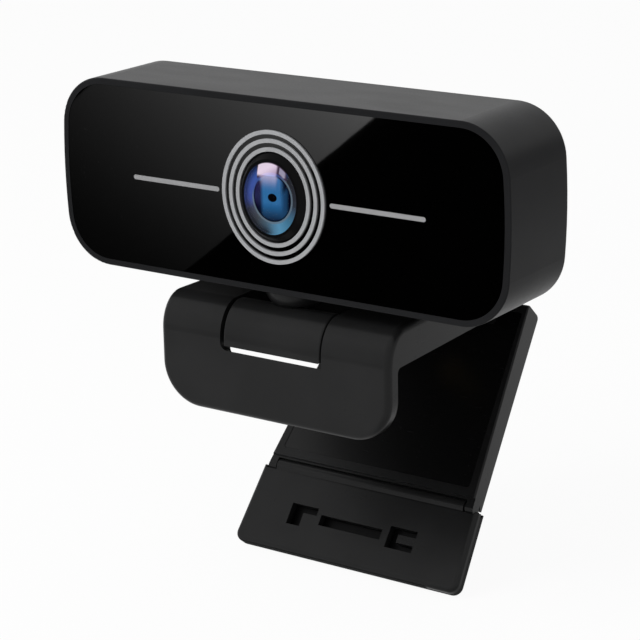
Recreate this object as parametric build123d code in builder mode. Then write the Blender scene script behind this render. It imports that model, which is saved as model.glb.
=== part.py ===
from build123d import *

import os
from math import cos, radians, sin

os.makedirs("parts", exist_ok=True)

# A monitor webcam: a flat camera head that swivels and tilts on a knuckle, and a clip with a
# front lip, a seat arm and a folding leg with a hinged foot that grips the back of the screen.
#
# Frame, in millimetres: the origin is on the face of the seat pad, where the screen's top edge
# bears. +X is to the right seen from in front of the lens, +Y points away behind the camera
# and +Z is up. The lens looks along -Y.

# ---------------------------------------------------------------- driving dimensions

# Head
HEAD_WIDTH = 93.4
HEAD_HEIGHT = 34.6
HEAD_DEPTH = 19.65
HEAD_CORNER = 9.3
END_BOW = 1.2  # how far each end bulges past its corners
HEAD_FRONT_Y = -24.4
HEAD_CENTRE_Z = 28.37
RIM = 1.15  # matte rim around the glossy panel
WALL = 1.9
BACK_EDGE = 0.8
FRONT_EDGE = 0.25

# Face of the head
PANEL_RECESS = 0.1
PANEL_THICKNESS = 1.5
RING_RADII = {"outer": (10.75, 11.8), "middle": (9.25, 10.3), "inner": (7.75, 8.8)}
RING_WIDTH = 0.72
RING_RISE = 0.35
RING_INLAY = 0.8
WINDOW_RX = 7.0
WINDOW_RZ = 8.05
GLASS_RX = 5.5
GLASS_RZ = 6.4
COLLAR_RISE = 1.0
MIC_INNER_X = 11.6
MIC_OUTER_X = 30.6
MIC_HEIGHT = 0.85

# Inside the head
CHASSIS_THICKNESS = 2.0
POST_X = 36.0
POST_Z = 9.5
BOARD_WIDTH = 62.0
BOARD_HEIGHT = 24.0
BOARD_THICKNESS = 1.6
BOARD_POST_X = 27.0
BOARD_POST_Z = 9.0
BOARD_FRONT = 11.4  # behind the front rim
CAPSULE_X = 21.0
GLAND_DROP = 8.5  # below the middle of the head

# Swivel and tilt
SWIVEL_Y = -17.9
SWIVEL_RADIUS = 2.5
BOWL_RADIUS = 5.5
TILT_Y = -21.5
TILT_Z = 3.7
KNUCKLE_RADIUS = 4.35  # of its rounded back
KNUCKLE_LEFT = -10.3
KNUCKLE_RIGHT = 10.2
KNUCKLE_FLOOR_Z = 0.5
TILT_PIN_RADIUS = 1.5

# Clip
CLIP_HALF_FRONT = 24.4
CLIP_HALF_REAR = 22.25
LIP_FRONT_Y = -26.25
LIP_THICKNESS = 3.0
LIP_BOTTOM_Z = -12.3
LIP_CORNER = 7.9
ARM_TOP_Z = 8.05
NOSE_DEPTH = 5.2  # half axes of the oval that rolls the lip into the arm
NOSE_HEIGHT = 6.5
SEAT_PAD_PROUD = 1.2  # the pads stand this far out of their recesses
LIP_PAD_PROUD = 0.5
PAD_RECESS = 0.8
NOTCH_LEFT = -11.0
NOTCH_RIGHT = 10.55
NOTCH_BACK_Y = -13.15
NOTCH_FLOOR_Z = -0.33
NOTCH_FLOOR_DROP = 1.85  # the floor falls this far from the front of the lip to its back
HEEL_RADIUS = 10.0
INSERT_Y = 12.0
INSERT_RADIUS = 4.0
INSERT_BORE = 2.6
INSERT_DEPTH = 5.2

# Leg and foot
LEG_HINGE_Y = 32.3
LEG_HINGE_Z = -4.7
LEG_ANGLE = 42.2  # from straight down, towards the front
LEG_LENGTH = 38.5
LEG_FRONT = 1.7  # inner and outer faces of the leg, measured from its hinge
LEG_BACK_TOP = -3.8
LEG_BACK_END = -2.75
ARM_KNUCKLE_RADIUS = 2.1
LEG_PIN_RADIUS = 0.8
LEG_HALF_TOP = 19.1
LEG_HALF_END = 22.8
LEG_BORDER = 0.95  # beside its pad at the top
LEG_BORDER_FOOT = 1.7  # beside and below its pad at the foot
ARM_KNUCKLE_HALF = 12.0
LEG_CUTOUT = 2.6
LEG_RECESS = 0.8
FOOT_HINGE_DROP = 40.2
FOOT_BARREL = 1.4
FOOT_PIN_RADIUS = 0.6
FOOT_LUG = 1.5
FOOT_LUG_RADIUS = 1.2
LEG_PIN_HALF = 18.6
FOOT_PIN_HALF = 22.1
FOOT_ANGLE = 38.3
FOOT_TOP = 0.4  # below its hinge
FOOT_LENGTH = 16.3
FOOT_HALF_TOP = 24.1
FOOT_HALF_END = 25.0
FOOT_INNER = 1.1  # faces and split, in front of its hinge
FOOT_SPLIT = -0.5
FOOT_OUTER = -2.0

# Clearances
MOVING_GAP = 0.3
RUNNING_GAP = 0.05
SLIP_GAP = 0.05

# ---------------------------------------------------------------- derived places

HEAD_BOTTOM_Z = HEAD_CENTRE_Z - HEAD_HEIGHT / 2
NOSE_Y = LIP_FRONT_Y + NOSE_DEPTH
NOSE_Z = ARM_TOP_Z - NOSE_HEIGHT
LIP_BACK_Y = LIP_FRONT_Y + LIP_THICKNESS
ARM_UNDER_Z = SEAT_PAD_PROUD
PANEL_FRONT_Y = HEAD_FRONT_Y + PANEL_RECESS
PANEL_BACK_Y = PANEL_FRONT_Y + PANEL_THICKNESS
CHASSIS_BACK_Y = PANEL_BACK_Y + CHASSIS_THICKNESS
BOARD_FRONT_Y = HEAD_FRONT_Y + BOARD_FRONT
HEAD_BACK_Y = HEAD_FRONT_Y + HEAD_DEPTH
LUG_INNER = LEG_HALF_END - FOOT_LUG


def face_plane(y):
    """Plane parallel to the lens panel at a depth y, centred on the lens, facing forwards."""
    return Plane(origin=(0, y, HEAD_CENTRE_Z), x_dir=(1, 0, 0), z_dir=(0, -1, 0))


def leaning_plane(origin, angle):
    """Plane through the origin, facing forwards, that leans from vertical: +Y runs up it."""
    a = radians(angle)
    return Plane(origin=origin, x_dir=(1, 0, 0), z_dir=(0, -cos(a), sin(a)))


def leaning_profile(origin, angle):
    """Side-view plane of a leaning part: local X points forwards out of it, local Y up it."""
    a = radians(angle)
    return Plane(origin=origin, x_dir=(0, -cos(a), sin(a)), z_dir=(-1, 0, 0))


def head_outline(inset):
    """Front view of the head, inset from its edge: flat top and bottom, ends bowed outwards."""
    half_w = HEAD_WIDTH / 2 - inset
    half_h = HEAD_HEIGHT / 2 - inset
    shoulder = half_w - END_BOW
    with BuildSketch() as outline:
        with BuildLine():
            Line((-shoulder, half_h), (shoulder, half_h))
            ThreePointArc((shoulder, half_h), (half_w, 0), (shoulder, -half_h))
            Line((shoulder, -half_h), (-shoulder, -half_h))
            ThreePointArc((-shoulder, -half_h), (-half_w, 0), (-shoulder, half_h))
        make_face()
        fillet(outline.vertices(), HEAD_CORNER - inset)
    return outline.sketch


leg_axis = (0, LEG_HINGE_Y, LEG_HINGE_Z)
leg_face = leaning_plane(leg_axis, LEG_ANGLE)
leg_profile = leaning_profile(leg_axis, LEG_ANGLE)
foot_axis = leg_profile.from_local_coords((0, -FOOT_HINGE_DROP, 0))
foot_face = leaning_plane(foot_axis, FOOT_ANGLE)
foot_profile = leaning_profile(foot_axis, FOOT_ANGLE)

# ---------------------------------------------------------------- head housing

VENT_COUNT = 9
VENT_PITCH = 3.0
VENT_WIDTH = 1.1
VENT_HEIGHT = 6.0
VENT_RISE = 6.0
HOUSING_POST_RADIUS = 2.2
SCREW_CORE = 0.85
GLAND_RADIUS = 3.4
GLAND_BORE = 1.9
SWIVEL_BOSS_RADIUS = 4.7
SWIVEL_BOSS_HEIGHT = 0.8

with BuildPart() as head_housing:
    with BuildSketch(face_plane(HEAD_FRONT_Y)):
        add(head_outline(0))
    extrude(amount=-HEAD_DEPTH)
    back_rim = head_housing.faces().sort_by(Axis.Y)[-1].edges()
    fillet(back_rim, BACK_EDGE)
    front_rim = head_housing.faces().sort_by(Axis.Y)[0].edges()
    fillet(front_rim, FRONT_EDGE)
    with BuildSketch(face_plane(HEAD_FRONT_Y)):
        add(head_outline(RIM))
    extrude(amount=-(PANEL_RECESS + PANEL_THICKNESS), mode=Mode.SUBTRACT)
    with BuildSketch(face_plane(HEAD_FRONT_Y)):
        add(head_outline(WALL))
    extrude(amount=-(HEAD_DEPTH - WALL), mode=Mode.SUBTRACT)
    with BuildSketch(face_plane(CHASSIS_BACK_Y)):
        with GridLocations(2 * POST_X, 2 * POST_Z, 2, 2):
            Circle(HOUSING_POST_RADIUS)
            Circle(SCREW_CORE, mode=Mode.SUBTRACT)
    extrude(amount=-(HEAD_BACK_Y - CHASSIS_BACK_Y - WALL))
    with BuildSketch(Plane.XY.offset(HEAD_BOTTOM_Z + WALL)):
        with Locations((0, SWIVEL_Y)):
            Circle(SWIVEL_BOSS_RADIUS)
    extrude(amount=SWIVEL_BOSS_HEIGHT)
    with BuildSketch(Plane.XY.offset(HEAD_BOTTOM_Z)):
        with Locations((0, SWIVEL_Y)):
            Circle(SWIVEL_RADIUS + RUNNING_GAP)
    extrude(amount=WALL + SWIVEL_BOSS_HEIGHT, mode=Mode.SUBTRACT)
    with BuildSketch(face_plane(HEAD_BACK_Y)):
        with Locations((0, -GLAND_DROP)):
            Circle(GLAND_RADIUS)
        with Locations((0, VENT_RISE)):
            with GridLocations(VENT_PITCH, 0, VENT_COUNT, 1):
                SlotOverall(VENT_HEIGHT, VENT_WIDTH, rotation=90)
    extrude(amount=WALL, mode=Mode.SUBTRACT)
head_housing.part.label = "head_housing"
export_step(head_housing.part, "parts/head_housing.step")

# ---------------------------------------------------------------- face of the head

with BuildPart() as front_panel:
    with BuildSketch(face_plane(PANEL_FRONT_Y)):
        add(head_outline(RIM + SLIP_GAP))
        Ellipse(WINDOW_RX, WINDOW_RZ, mode=Mode.SUBTRACT)
        for side in (-1, 1):
            with Locations((side * (MIC_INNER_X + MIC_OUTER_X) / 2, 0)):
                SlotOverall(MIC_OUTER_X - MIC_INNER_X, MIC_HEIGHT, mode=Mode.SUBTRACT)
    extrude(amount=-PANEL_THICKNESS)
    with BuildSketch(face_plane(PANEL_FRONT_Y)):
        for ring_rx, ring_rz in RING_RADII.values():
            Ellipse(ring_rx, ring_rz)
            Ellipse(ring_rx - RING_WIDTH, ring_rz - RING_WIDTH, mode=Mode.SUBTRACT)
    extrude(amount=-RING_INLAY, mode=Mode.SUBTRACT)
front_panel.part.label = "front_panel"
export_step(front_panel.part, "parts/front_panel.step")

for ring_name, (ring_rx, ring_rz) in RING_RADII.items():
    with BuildPart() as lens_ring:
        with BuildSketch(face_plane(PANEL_FRONT_Y - RING_RISE)):
            Ellipse(ring_rx, ring_rz)
            Ellipse(ring_rx - RING_WIDTH, ring_rz - RING_WIDTH, mode=Mode.SUBTRACT)
        extrude(amount=-(RING_RISE + RING_INLAY))
    lens_ring.part.label = f"lens_ring_{ring_name}"
    export_step(lens_ring.part, f"parts/lens_ring_{ring_name}.step")

for side_name, side in (("left", -1), ("right", 1)):
    with BuildPart() as mic_trim:
        with BuildSketch(face_plane(PANEL_FRONT_Y)):
            with Locations((side * (MIC_INNER_X + MIC_OUTER_X) / 2, 0)):
                SlotOverall(MIC_OUTER_X - MIC_INNER_X, MIC_HEIGHT)
        extrude(amount=-PANEL_THICKNESS)
    mic_trim.part.label = f"mic_trim_{side_name}"
    export_step(mic_trim.part, f"parts/mic_trim_{side_name}.step")

# ---------------------------------------------------------------- chassis plate behind the panel

BARREL_RADIUS = 5.3
CHASSIS_SWIVEL_HALF = 6.5
CHASSIS_SWIVEL_TOP = 9.5  # below the lens axis
BOARD_POST_RADIUS = 1.8
CAPSULE_RADIUS = 2.0
CAPSULE_THICKNESS = 1.4
GASKET_THICKNESS = 0.6
GASKET_RADIUS = 2.6

with BuildPart() as chassis:
    with BuildSketch(face_plane(PANEL_BACK_Y)):
        add(head_outline(WALL + SLIP_GAP))
        Ellipse(GLASS_RX + 0.6, GLASS_RZ + 0.3, mode=Mode.SUBTRACT)
        with Locations((0, -HEAD_HEIGHT / 2)):
            Rectangle(
                2 * CHASSIS_SWIVEL_HALF,
                2 * (HEAD_HEIGHT / 2 - CHASSIS_SWIVEL_TOP),
                mode=Mode.SUBTRACT,
            )
        with GridLocations(2 * POST_X, 2 * POST_Z, 2, 2):
            Circle(SCREW_CORE + 0.25, mode=Mode.SUBTRACT)
        with GridLocations(2 * CAPSULE_X, 0, 2, 1):
            Circle(CAPSULE_RADIUS - 0.6, mode=Mode.SUBTRACT)
    extrude(amount=-CHASSIS_THICKNESS)
    with BuildSketch(face_plane(CHASSIS_BACK_Y)):
        with GridLocations(2 * BOARD_POST_X, 2 * BOARD_POST_Z, 2, 2):
            Circle(BOARD_POST_RADIUS)
            Circle(SCREW_CORE, mode=Mode.SUBTRACT)
    extrude(amount=-(BOARD_FRONT_Y - CHASSIS_BACK_Y))
chassis.part.label = "chassis"
export_step(chassis.part, "parts/chassis.step")

SCREW_HEAD_RADIUS = 1.6
SCREW_HEAD_HEIGHT = 1.0
SCREW_RADIUS = 0.8
CHASSIS_SCREW_LENGTH = 8.0
BOARD_SCREW_LENGTH = 6.0

with BuildPart() as chassis_screws:
    with BuildSketch(face_plane(PANEL_BACK_Y + SCREW_HEAD_HEIGHT)):
        with GridLocations(2 * POST_X, 2 * POST_Z, 2, 2):
            Circle(SCREW_RADIUS)
    extrude(amount=-CHASSIS_SCREW_LENGTH)
    with BuildSketch(face_plane(CHASSIS_BACK_Y - CHASSIS_THICKNESS)):
        with GridLocations(2 * POST_X, 2 * POST_Z, 2, 2):
            Circle(SCREW_CORE + 0.25 - SLIP_GAP)
    extrude(amount=-SCREW_HEAD_HEIGHT)
chassis_screws.part.label = "chassis_screws"
export_step(chassis_screws.part, "parts/chassis_screws.step")

with BuildPart() as mic_gaskets:
    with BuildSketch(face_plane(CHASSIS_BACK_Y)):
        with GridLocations(2 * CAPSULE_X, 0, 2, 1):
            Circle(GASKET_RADIUS)
            Circle(CAPSULE_RADIUS - 0.6, mode=Mode.SUBTRACT)
    extrude(amount=-GASKET_THICKNESS)
mic_gaskets.part.label = "mic_gaskets"
export_step(mic_gaskets.part, "parts/mic_gaskets.step")

with BuildPart() as mic_capsules:
    with BuildSketch(face_plane(CHASSIS_BACK_Y + GASKET_THICKNESS)):
        with GridLocations(2 * CAPSULE_X, 0, 2, 1):
            Circle(CAPSULE_RADIUS)
    extrude(amount=-CAPSULE_THICKNESS)
mic_capsules.part.label = "mic_capsules"
export_step(mic_capsules.part, "parts/mic_capsules.step")

# ---------------------------------------------------------------- lens and optics

LENS_PLATE = 0.9
BARREL_FRONT = 0.35  # behind the front rim
BARREL_LENGTH = 9.2
BARREL_MOUTH = 4.7
INNER_LENS_RADIUS = 3.9
INNER_LENS_AT = 1.4
INNER_LENS_THICKNESS = 1.5
STOP_AT = 3.1
STOP_THICKNESS = 0.4
PUPIL_RADIUS = 1.1
REAR_LENS_RADIUS = 2.9
REAR_LENS_AT = 4.4
REAR_LENS_THICKNESS = 1.6
HOLDER_HALF = 7.0
HOLDER_TUBE_RADIUS = 6.6
HOLDER_BASE = 3.0
FILTER_HALF = 2.8
FILTER_THICKNESS = 0.4
SENSOR_THICKNESS = 0.9

with BuildPart() as lens_collar:
    with BuildSketch(face_plane(PANEL_FRONT_Y)):
        Ellipse(WINDOW_RX, WINDOW_RZ)
    with BuildSketch(face_plane(HEAD_FRONT_Y - COLLAR_RISE)):
        Ellipse(GLASS_RX + 0.45, GLASS_RZ + 0.5)
    loft()
    with BuildSketch(face_plane(PANEL_FRONT_Y)):
        Ellipse(WINDOW_RX, WINDOW_RZ)
    extrude(amount=-PANEL_THICKNESS)
    with BuildSketch(face_plane(HEAD_FRONT_Y - COLLAR_RISE)):
        Ellipse(GLASS_RX, GLASS_RZ)
    extrude(amount=-(COLLAR_RISE + PANEL_RECESS + PANEL_THICKNESS), mode=Mode.SUBTRACT)
lens_collar.part.label = "lens_collar"
export_step(lens_collar.part, "parts/lens_collar.step")

LENS_CROWN = 1.15  # how far the dome stands out of its collar

dome_radius = (GLASS_RX**2 + LENS_CROWN**2) / (2 * LENS_CROWN)
dome_base_y = HEAD_FRONT_Y - COLLAR_RISE
dome_ball = Pos(0, dome_base_y - LENS_CROWN + dome_radius, 0) * Sphere(dome_radius)
dome_cap = split(dome_ball, Plane.XZ.offset(-dome_base_y), keep=Keep.TOP)
dome_oval = scale(dome_cap, (1 - 0.02 / GLASS_RX, 1, (GLASS_RZ - 0.02) / GLASS_RX))

with BuildPart() as front_lens:
    with BuildSketch(face_plane(dome_base_y)):
        Ellipse(GLASS_RX - 0.02, GLASS_RZ - 0.02)
    extrude(amount=-LENS_PLATE)
    add(dome_oval.moved(Pos(0, 0, HEAD_CENTRE_Z)))
front_lens.part.label = "front_lens"
export_step(front_lens.part, "parts/front_lens.step")

with BuildPart() as lens_barrel:
    with BuildSketch(face_plane(HEAD_FRONT_Y + BARREL_FRONT)):
        Circle(BARREL_RADIUS)
    extrude(amount=-BARREL_LENGTH)
    with BuildSketch(face_plane(HEAD_FRONT_Y + BARREL_FRONT)):
        Circle(BARREL_MOUTH)
    extrude(amount=-(INNER_LENS_AT - BARREL_FRONT), mode=Mode.SUBTRACT)
    with BuildSketch(face_plane(HEAD_FRONT_Y + INNER_LENS_AT)):
        Circle(INNER_LENS_RADIUS)
    extrude(amount=-(STOP_AT + STOP_THICKNESS - INNER_LENS_AT), mode=Mode.SUBTRACT)
    with BuildSketch(face_plane(HEAD_FRONT_Y + STOP_AT)):
        Circle(REAR_LENS_RADIUS)
    extrude(amount=-BARREL_LENGTH, mode=Mode.SUBTRACT)
lens_barrel.part.label = "lens_barrel"
export_step(lens_barrel.part, "parts/lens_barrel.step")


def lens_element(front_y, radius, thickness, crown_front, crown_back):
    """A round lens on the optical axis with two spherical faces, revolved from its section."""
    section = Plane(origin=(0, front_y, HEAD_CENTRE_Z), x_dir=(1, 0, 0), z_dir=(0, 0, 1))
    with BuildPart() as element:
        with BuildSketch(section):
            with BuildLine():
                ThreePointArc((-radius, crown_front), (0, 0), (radius, crown_front))
                Line((radius, crown_front), (radius, thickness - crown_back))
                ThreePointArc(
                    (radius, thickness - crown_back),
                    (0, thickness),
                    (-radius, thickness - crown_back),
                )
                Line((-radius, thickness - crown_back), (-radius, crown_front))
            make_face()
            with Locations((-radius / 2, thickness / 2)):
                Rectangle(radius, 2 * thickness, mode=Mode.SUBTRACT)
        revolve(axis=Axis((0, 0, HEAD_CENTRE_Z), (0, 1, 0)))
    return element.part


inner_lens = lens_element(
    HEAD_FRONT_Y + INNER_LENS_AT, INNER_LENS_RADIUS, INNER_LENS_THICKNESS, 0.6, 0.3
)
inner_lens.label = "inner_lens"
export_step(inner_lens, "parts/inner_lens.step")

rear_lens = lens_element(
    HEAD_FRONT_Y + REAR_LENS_AT, REAR_LENS_RADIUS, REAR_LENS_THICKNESS, 0.4, 0.4
)
rear_lens.label = "rear_lens"
export_step(rear_lens, "parts/rear_lens.step")

with BuildPart() as aperture_stop:
    with BuildSketch(face_plane(HEAD_FRONT_Y + STOP_AT)):
        Circle(INNER_LENS_RADIUS)
        Circle(PUPIL_RADIUS, mode=Mode.SUBTRACT)
    extrude(amount=-STOP_THICKNESS)
aperture_stop.part.label = "aperture_stop"
export_step(aperture_stop.part, "parts/aperture_stop.step")

with BuildPart() as lens_holder:
    with BuildSketch(face_plane(BOARD_FRONT_Y)):
        RectangleRounded(2 * HOLDER_HALF, 2 * HOLDER_HALF, 1.0)
    extrude(amount=HOLDER_BASE)
    with BuildSketch(face_plane(BOARD_FRONT_Y - HOLDER_BASE)):
        Circle(HOLDER_TUBE_RADIUS)
    extrude(amount=3.0)
    with BuildSketch(face_plane(BOARD_FRONT_Y)):
        Rectangle(2 * FILTER_HALF, 2 * FILTER_HALF)
    extrude(amount=HOLDER_BASE, mode=Mode.SUBTRACT)
    with BuildSketch(face_plane(HEAD_FRONT_Y + BARREL_FRONT + BARREL_LENGTH)):
        Circle(BARREL_RADIUS)
    extrude(amount=HOLDER_BASE + 3.0, mode=Mode.SUBTRACT)
lens_holder.part.label = "lens_holder"
export_step(lens_holder.part, "parts/lens_holder.step")

with BuildPart() as ir_filter:
    with BuildSketch(face_plane(BOARD_FRONT_Y - SENSOR_THICKNESS - FILTER_THICKNESS)):
        Rectangle(2 * FILTER_HALF, 2 * FILTER_HALF)
    extrude(amount=-FILTER_THICKNESS)
ir_filter.part.label = "ir_filter"
export_step(ir_filter.part, "parts/ir_filter.step")

with BuildPart() as image_sensor:
    with BuildSketch(face_plane(BOARD_FRONT_Y)):
        Rectangle(2 * FILTER_HALF - 0.2, 2 * FILTER_HALF - 0.6)
    extrude(amount=SENSOR_THICKNESS)
image_sensor.part.label = "image_sensor"
export_step(image_sensor.part, "parts/image_sensor.step")

# ---------------------------------------------------------------- main board

BOARD_CHIPS = (
    ((-14.0, 2.0), 8.0, 8.0, 1.1),
    ((13.0, 4.0), 6.0, 5.0, 1.0),
    ((20.0, -6.0), 5.0, 3.0, 0.9),
    ((-23.0, -6.0), 4.0, 3.0, 0.8),
)
SOCKET_WIDTH = 9.0
SOCKET_HEIGHT = 3.6
SOCKET_DEPTH = 2.2

with BuildPart() as main_board:
    with BuildSketch(face_plane(BOARD_FRONT_Y)):
        RectangleRounded(BOARD_WIDTH, BOARD_HEIGHT, 1.5)
        with GridLocations(2 * BOARD_POST_X, 2 * BOARD_POST_Z, 2, 2):
            Circle(SCREW_CORE + 0.15, mode=Mode.SUBTRACT)
    extrude(amount=-BOARD_THICKNESS)
    for chip_at, chip_w, chip_h, chip_t in BOARD_CHIPS:
        with BuildSketch(face_plane(BOARD_FRONT_Y + BOARD_THICKNESS)):
            with Locations(chip_at):
                Rectangle(chip_w, chip_h)
        extrude(amount=-chip_t)
    with BuildSketch(face_plane(BOARD_FRONT_Y + BOARD_THICKNESS)):
        with Locations((0, -GLAND_DROP)):
            Rectangle(SOCKET_WIDTH, SOCKET_HEIGHT)
    extrude(amount=-SOCKET_DEPTH)
main_board.part.label = "main_board"
export_step(main_board.part, "parts/main_board.step")

with BuildPart() as board_screws:
    with BuildSketch(face_plane(BOARD_FRONT_Y + BOARD_THICKNESS)):
        with GridLocations(2 * BOARD_POST_X, 2 * BOARD_POST_Z, 2, 2):
            Circle(SCREW_HEAD_RADIUS)
    extrude(amount=-SCREW_HEAD_HEIGHT)
    with BuildSketch(face_plane(BOARD_FRONT_Y + BOARD_THICKNESS)):
        with GridLocations(2 * BOARD_POST_X, 2 * BOARD_POST_Z, 2, 2):
            Circle(SCREW_RADIUS)
    extrude(amount=BOARD_SCREW_LENGTH)
board_screws.part.label = "board_screws"
export_step(board_screws.part, "parts/board_screws.step")

with BuildPart() as cable_gland:
    with BuildSketch(face_plane(HEAD_BACK_Y)):
        with Locations((0, -GLAND_DROP)):
            Circle(GLAND_RADIUS)
    extrude(amount=WALL)
    with BuildSketch(face_plane(HEAD_BACK_Y)):
        with Locations((0, -GLAND_DROP)):
            Circle(GLAND_RADIUS + 0.6)
    extrude(amount=-0.8)
    lip_edge = cable_gland.faces().sort_by(Axis.Y)[-1].edges()
    fillet(lip_edge, 0.5)
    with BuildSketch(face_plane(HEAD_BACK_Y + 1.0)):
        with Locations((0, -GLAND_DROP)):
            Circle(GLAND_BORE)
    extrude(amount=WALL + 1.0, mode=Mode.SUBTRACT)
cable_gland.part.label = "cable_gland"
export_step(cable_gland.part, "parts/cable_gland.step")

# ---------------------------------------------------------------- neck: swivel post and knuckle

BOWL_TOP_Z = HEAD_BOTTOM_Z - MOVING_GAP
BOWL_FOOT_Z = 7.75
BOWL_FOOT_RADIUS = 3.1
POST_TOP_Z = HEAD_BOTTOM_Z + WALL + SWIVEL_BOSS_HEIGHT + 1.2
SPRING_RADIUS = 4.3
SPRING_THICKNESS = 0.5
WASHER_RADIUS = 4.3
WASHER_THICKNESS = 0.8
SWIVEL_SCREW_RADIUS = 1.0
SWIVEL_SCREW_LENGTH = 6.0

swivel_axis = Axis((0, SWIVEL_Y, 0), (0, 0, 1))
swivel_section = Plane(origin=(0, SWIVEL_Y, 0), x_dir=(1, 0, 0), z_dir=(0, -1, 0))
tilt_axis_plane = Plane(origin=(0, TILT_Y, TILT_Z), x_dir=(0, 1, 0), z_dir=(1, 0, 0))

knuckle_back_z = ARM_TOP_Z - KNUCKLE_RADIUS

with BuildPart() as neck_knuckle:
    with BuildSketch(Plane.YZ.offset(KNUCKLE_LEFT)):
        with BuildLine():
            CenterArc((NOSE_Y, knuckle_back_z), KNUCKLE_RADIUS, 90, -180)
            Polyline(
                (NOSE_Y, knuckle_back_z - KNUCKLE_RADIUS),
                (LIP_FRONT_Y, knuckle_back_z - KNUCKLE_RADIUS),
                (LIP_FRONT_Y, NOSE_Z),
            )
            EllipticalCenterArc((NOSE_Y, NOSE_Z), NOSE_DEPTH, NOSE_HEIGHT, 90, arc_size=90)
        make_face()
        with Locations((TILT_Y, KNUCKLE_FLOOR_Z - KNUCKLE_RADIUS)):
            Rectangle(4 * KNUCKLE_RADIUS, 2 * KNUCKLE_RADIUS, mode=Mode.SUBTRACT)
    extrude(amount=KNUCKLE_RIGHT - KNUCKLE_LEFT)
    end_faces = neck_knuckle.faces().filter_by(Axis.X)
    fillet(end_faces.edges(), 0.35)
    with BuildSketch(swivel_section):
        with BuildLine():
            Line((0, TILT_Z), (0, POST_TOP_Z))
            Line((0, POST_TOP_Z), (SWIVEL_RADIUS, POST_TOP_Z))
            Line((SWIVEL_RADIUS, POST_TOP_Z), (SWIVEL_RADIUS, BOWL_TOP_Z))
            Line((SWIVEL_RADIUS, BOWL_TOP_Z), (BOWL_RADIUS, BOWL_TOP_Z))
            ThreePointArc(
                (BOWL_RADIUS, BOWL_TOP_Z),
                (BOWL_RADIUS - 0.7, BOWL_TOP_Z - 2.0),
                (BOWL_FOOT_RADIUS, BOWL_FOOT_Z),
            )
            Line((BOWL_FOOT_RADIUS, BOWL_FOOT_Z), (BOWL_FOOT_RADIUS, TILT_Z))
            Line((BOWL_FOOT_RADIUS, TILT_Z), (0, TILT_Z))
        make_face()
    revolve(axis=swivel_axis)
    with BuildSketch(tilt_axis_plane):
        Circle(TILT_PIN_RADIUS + RUNNING_GAP)
    extrude(amount=-KNUCKLE_LEFT, both=True, mode=Mode.SUBTRACT)
    with BuildSketch(Plane.XY.offset(POST_TOP_Z)):
        with Locations((0, SWIVEL_Y)):
            Circle(SWIVEL_SCREW_RADIUS)
    extrude(amount=-SWIVEL_SCREW_LENGTH, mode=Mode.SUBTRACT)
neck_knuckle.part.label = "neck_knuckle"
export_step(neck_knuckle.part, "parts/neck_knuckle.step")

SPRING_FOOT_Z = HEAD_BOTTOM_Z + WALL + SWIVEL_BOSS_HEIGHT + 0.15

with BuildPart() as swivel_spring:
    with BuildSketch(swivel_section):
        with BuildLine():
            Polyline(
                (SWIVEL_RADIUS, POST_TOP_Z - SPRING_THICKNESS),
                (SWIVEL_RADIUS, POST_TOP_Z),
                (SWIVEL_RADIUS + 0.3, POST_TOP_Z),
                (SPRING_RADIUS, SPRING_FOOT_Z + SPRING_THICKNESS),
                (SPRING_RADIUS, SPRING_FOOT_Z),
                (SPRING_RADIUS - 0.3, SPRING_FOOT_Z),
                (SWIVEL_RADIUS, POST_TOP_Z - SPRING_THICKNESS),
            )
        make_face()
    revolve(axis=swivel_axis)
swivel_spring.part.label = "swivel_spring"
export_step(swivel_spring.part, "parts/swivel_spring.step")

with BuildPart() as swivel_washer:
    with BuildSketch(Plane.XY.offset(POST_TOP_Z)):
        with Locations((0, SWIVEL_Y)):
            Circle(WASHER_RADIUS)
            Circle(SWIVEL_SCREW_RADIUS + SLIP_GAP, mode=Mode.SUBTRACT)
    extrude(amount=WASHER_THICKNESS)
swivel_washer.part.label = "swivel_washer"
export_step(swivel_washer.part, "parts/swivel_washer.step")

with BuildPart() as swivel_screw:
    with BuildSketch(Plane.XY.offset(POST_TOP_Z + WASHER_THICKNESS)):
        with Locations((0, SWIVEL_Y)):
            Circle(2.1)
    extrude(amount=1.3)
    with BuildSketch(Plane.XY.offset(POST_TOP_Z + WASHER_THICKNESS)):
        with Locations((0, SWIVEL_Y)):
            Circle(SWIVEL_SCREW_RADIUS)
    extrude(amount=-SWIVEL_SCREW_LENGTH)
swivel_screw.part.label = "swivel_screw"
export_step(swivel_screw.part, "parts/swivel_screw.step")

# ---------------------------------------------------------------- clip arm and lip

HEEL_BACK_Y = LEG_HINGE_Y + ARM_KNUCKLE_RADIUS
WEB_FRONT_Y = LEG_HINGE_Y - ARM_KNUCKLE_RADIUS
TILT_PIN_HALF = 16.5
OUTER_EDGE = 1.2
NOTCH_CORNERS = (1.4, 0.4)
LIP_PAD_WIDTH = 39.0
LIP_PAD_HEIGHT = 6.0
LIP_PAD_MIDDLE_Z = -6.0
SEAT_PAD_HALF = 18.0
SEAT_PAD_FRONT_Y = -12.0
SEAT_PAD_REAR_Y = 26.0
GROOVE_PITCH = 3.0
GROOVE_WIDTH = 0.8
GROOVE_DEPTH = 0.4

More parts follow.
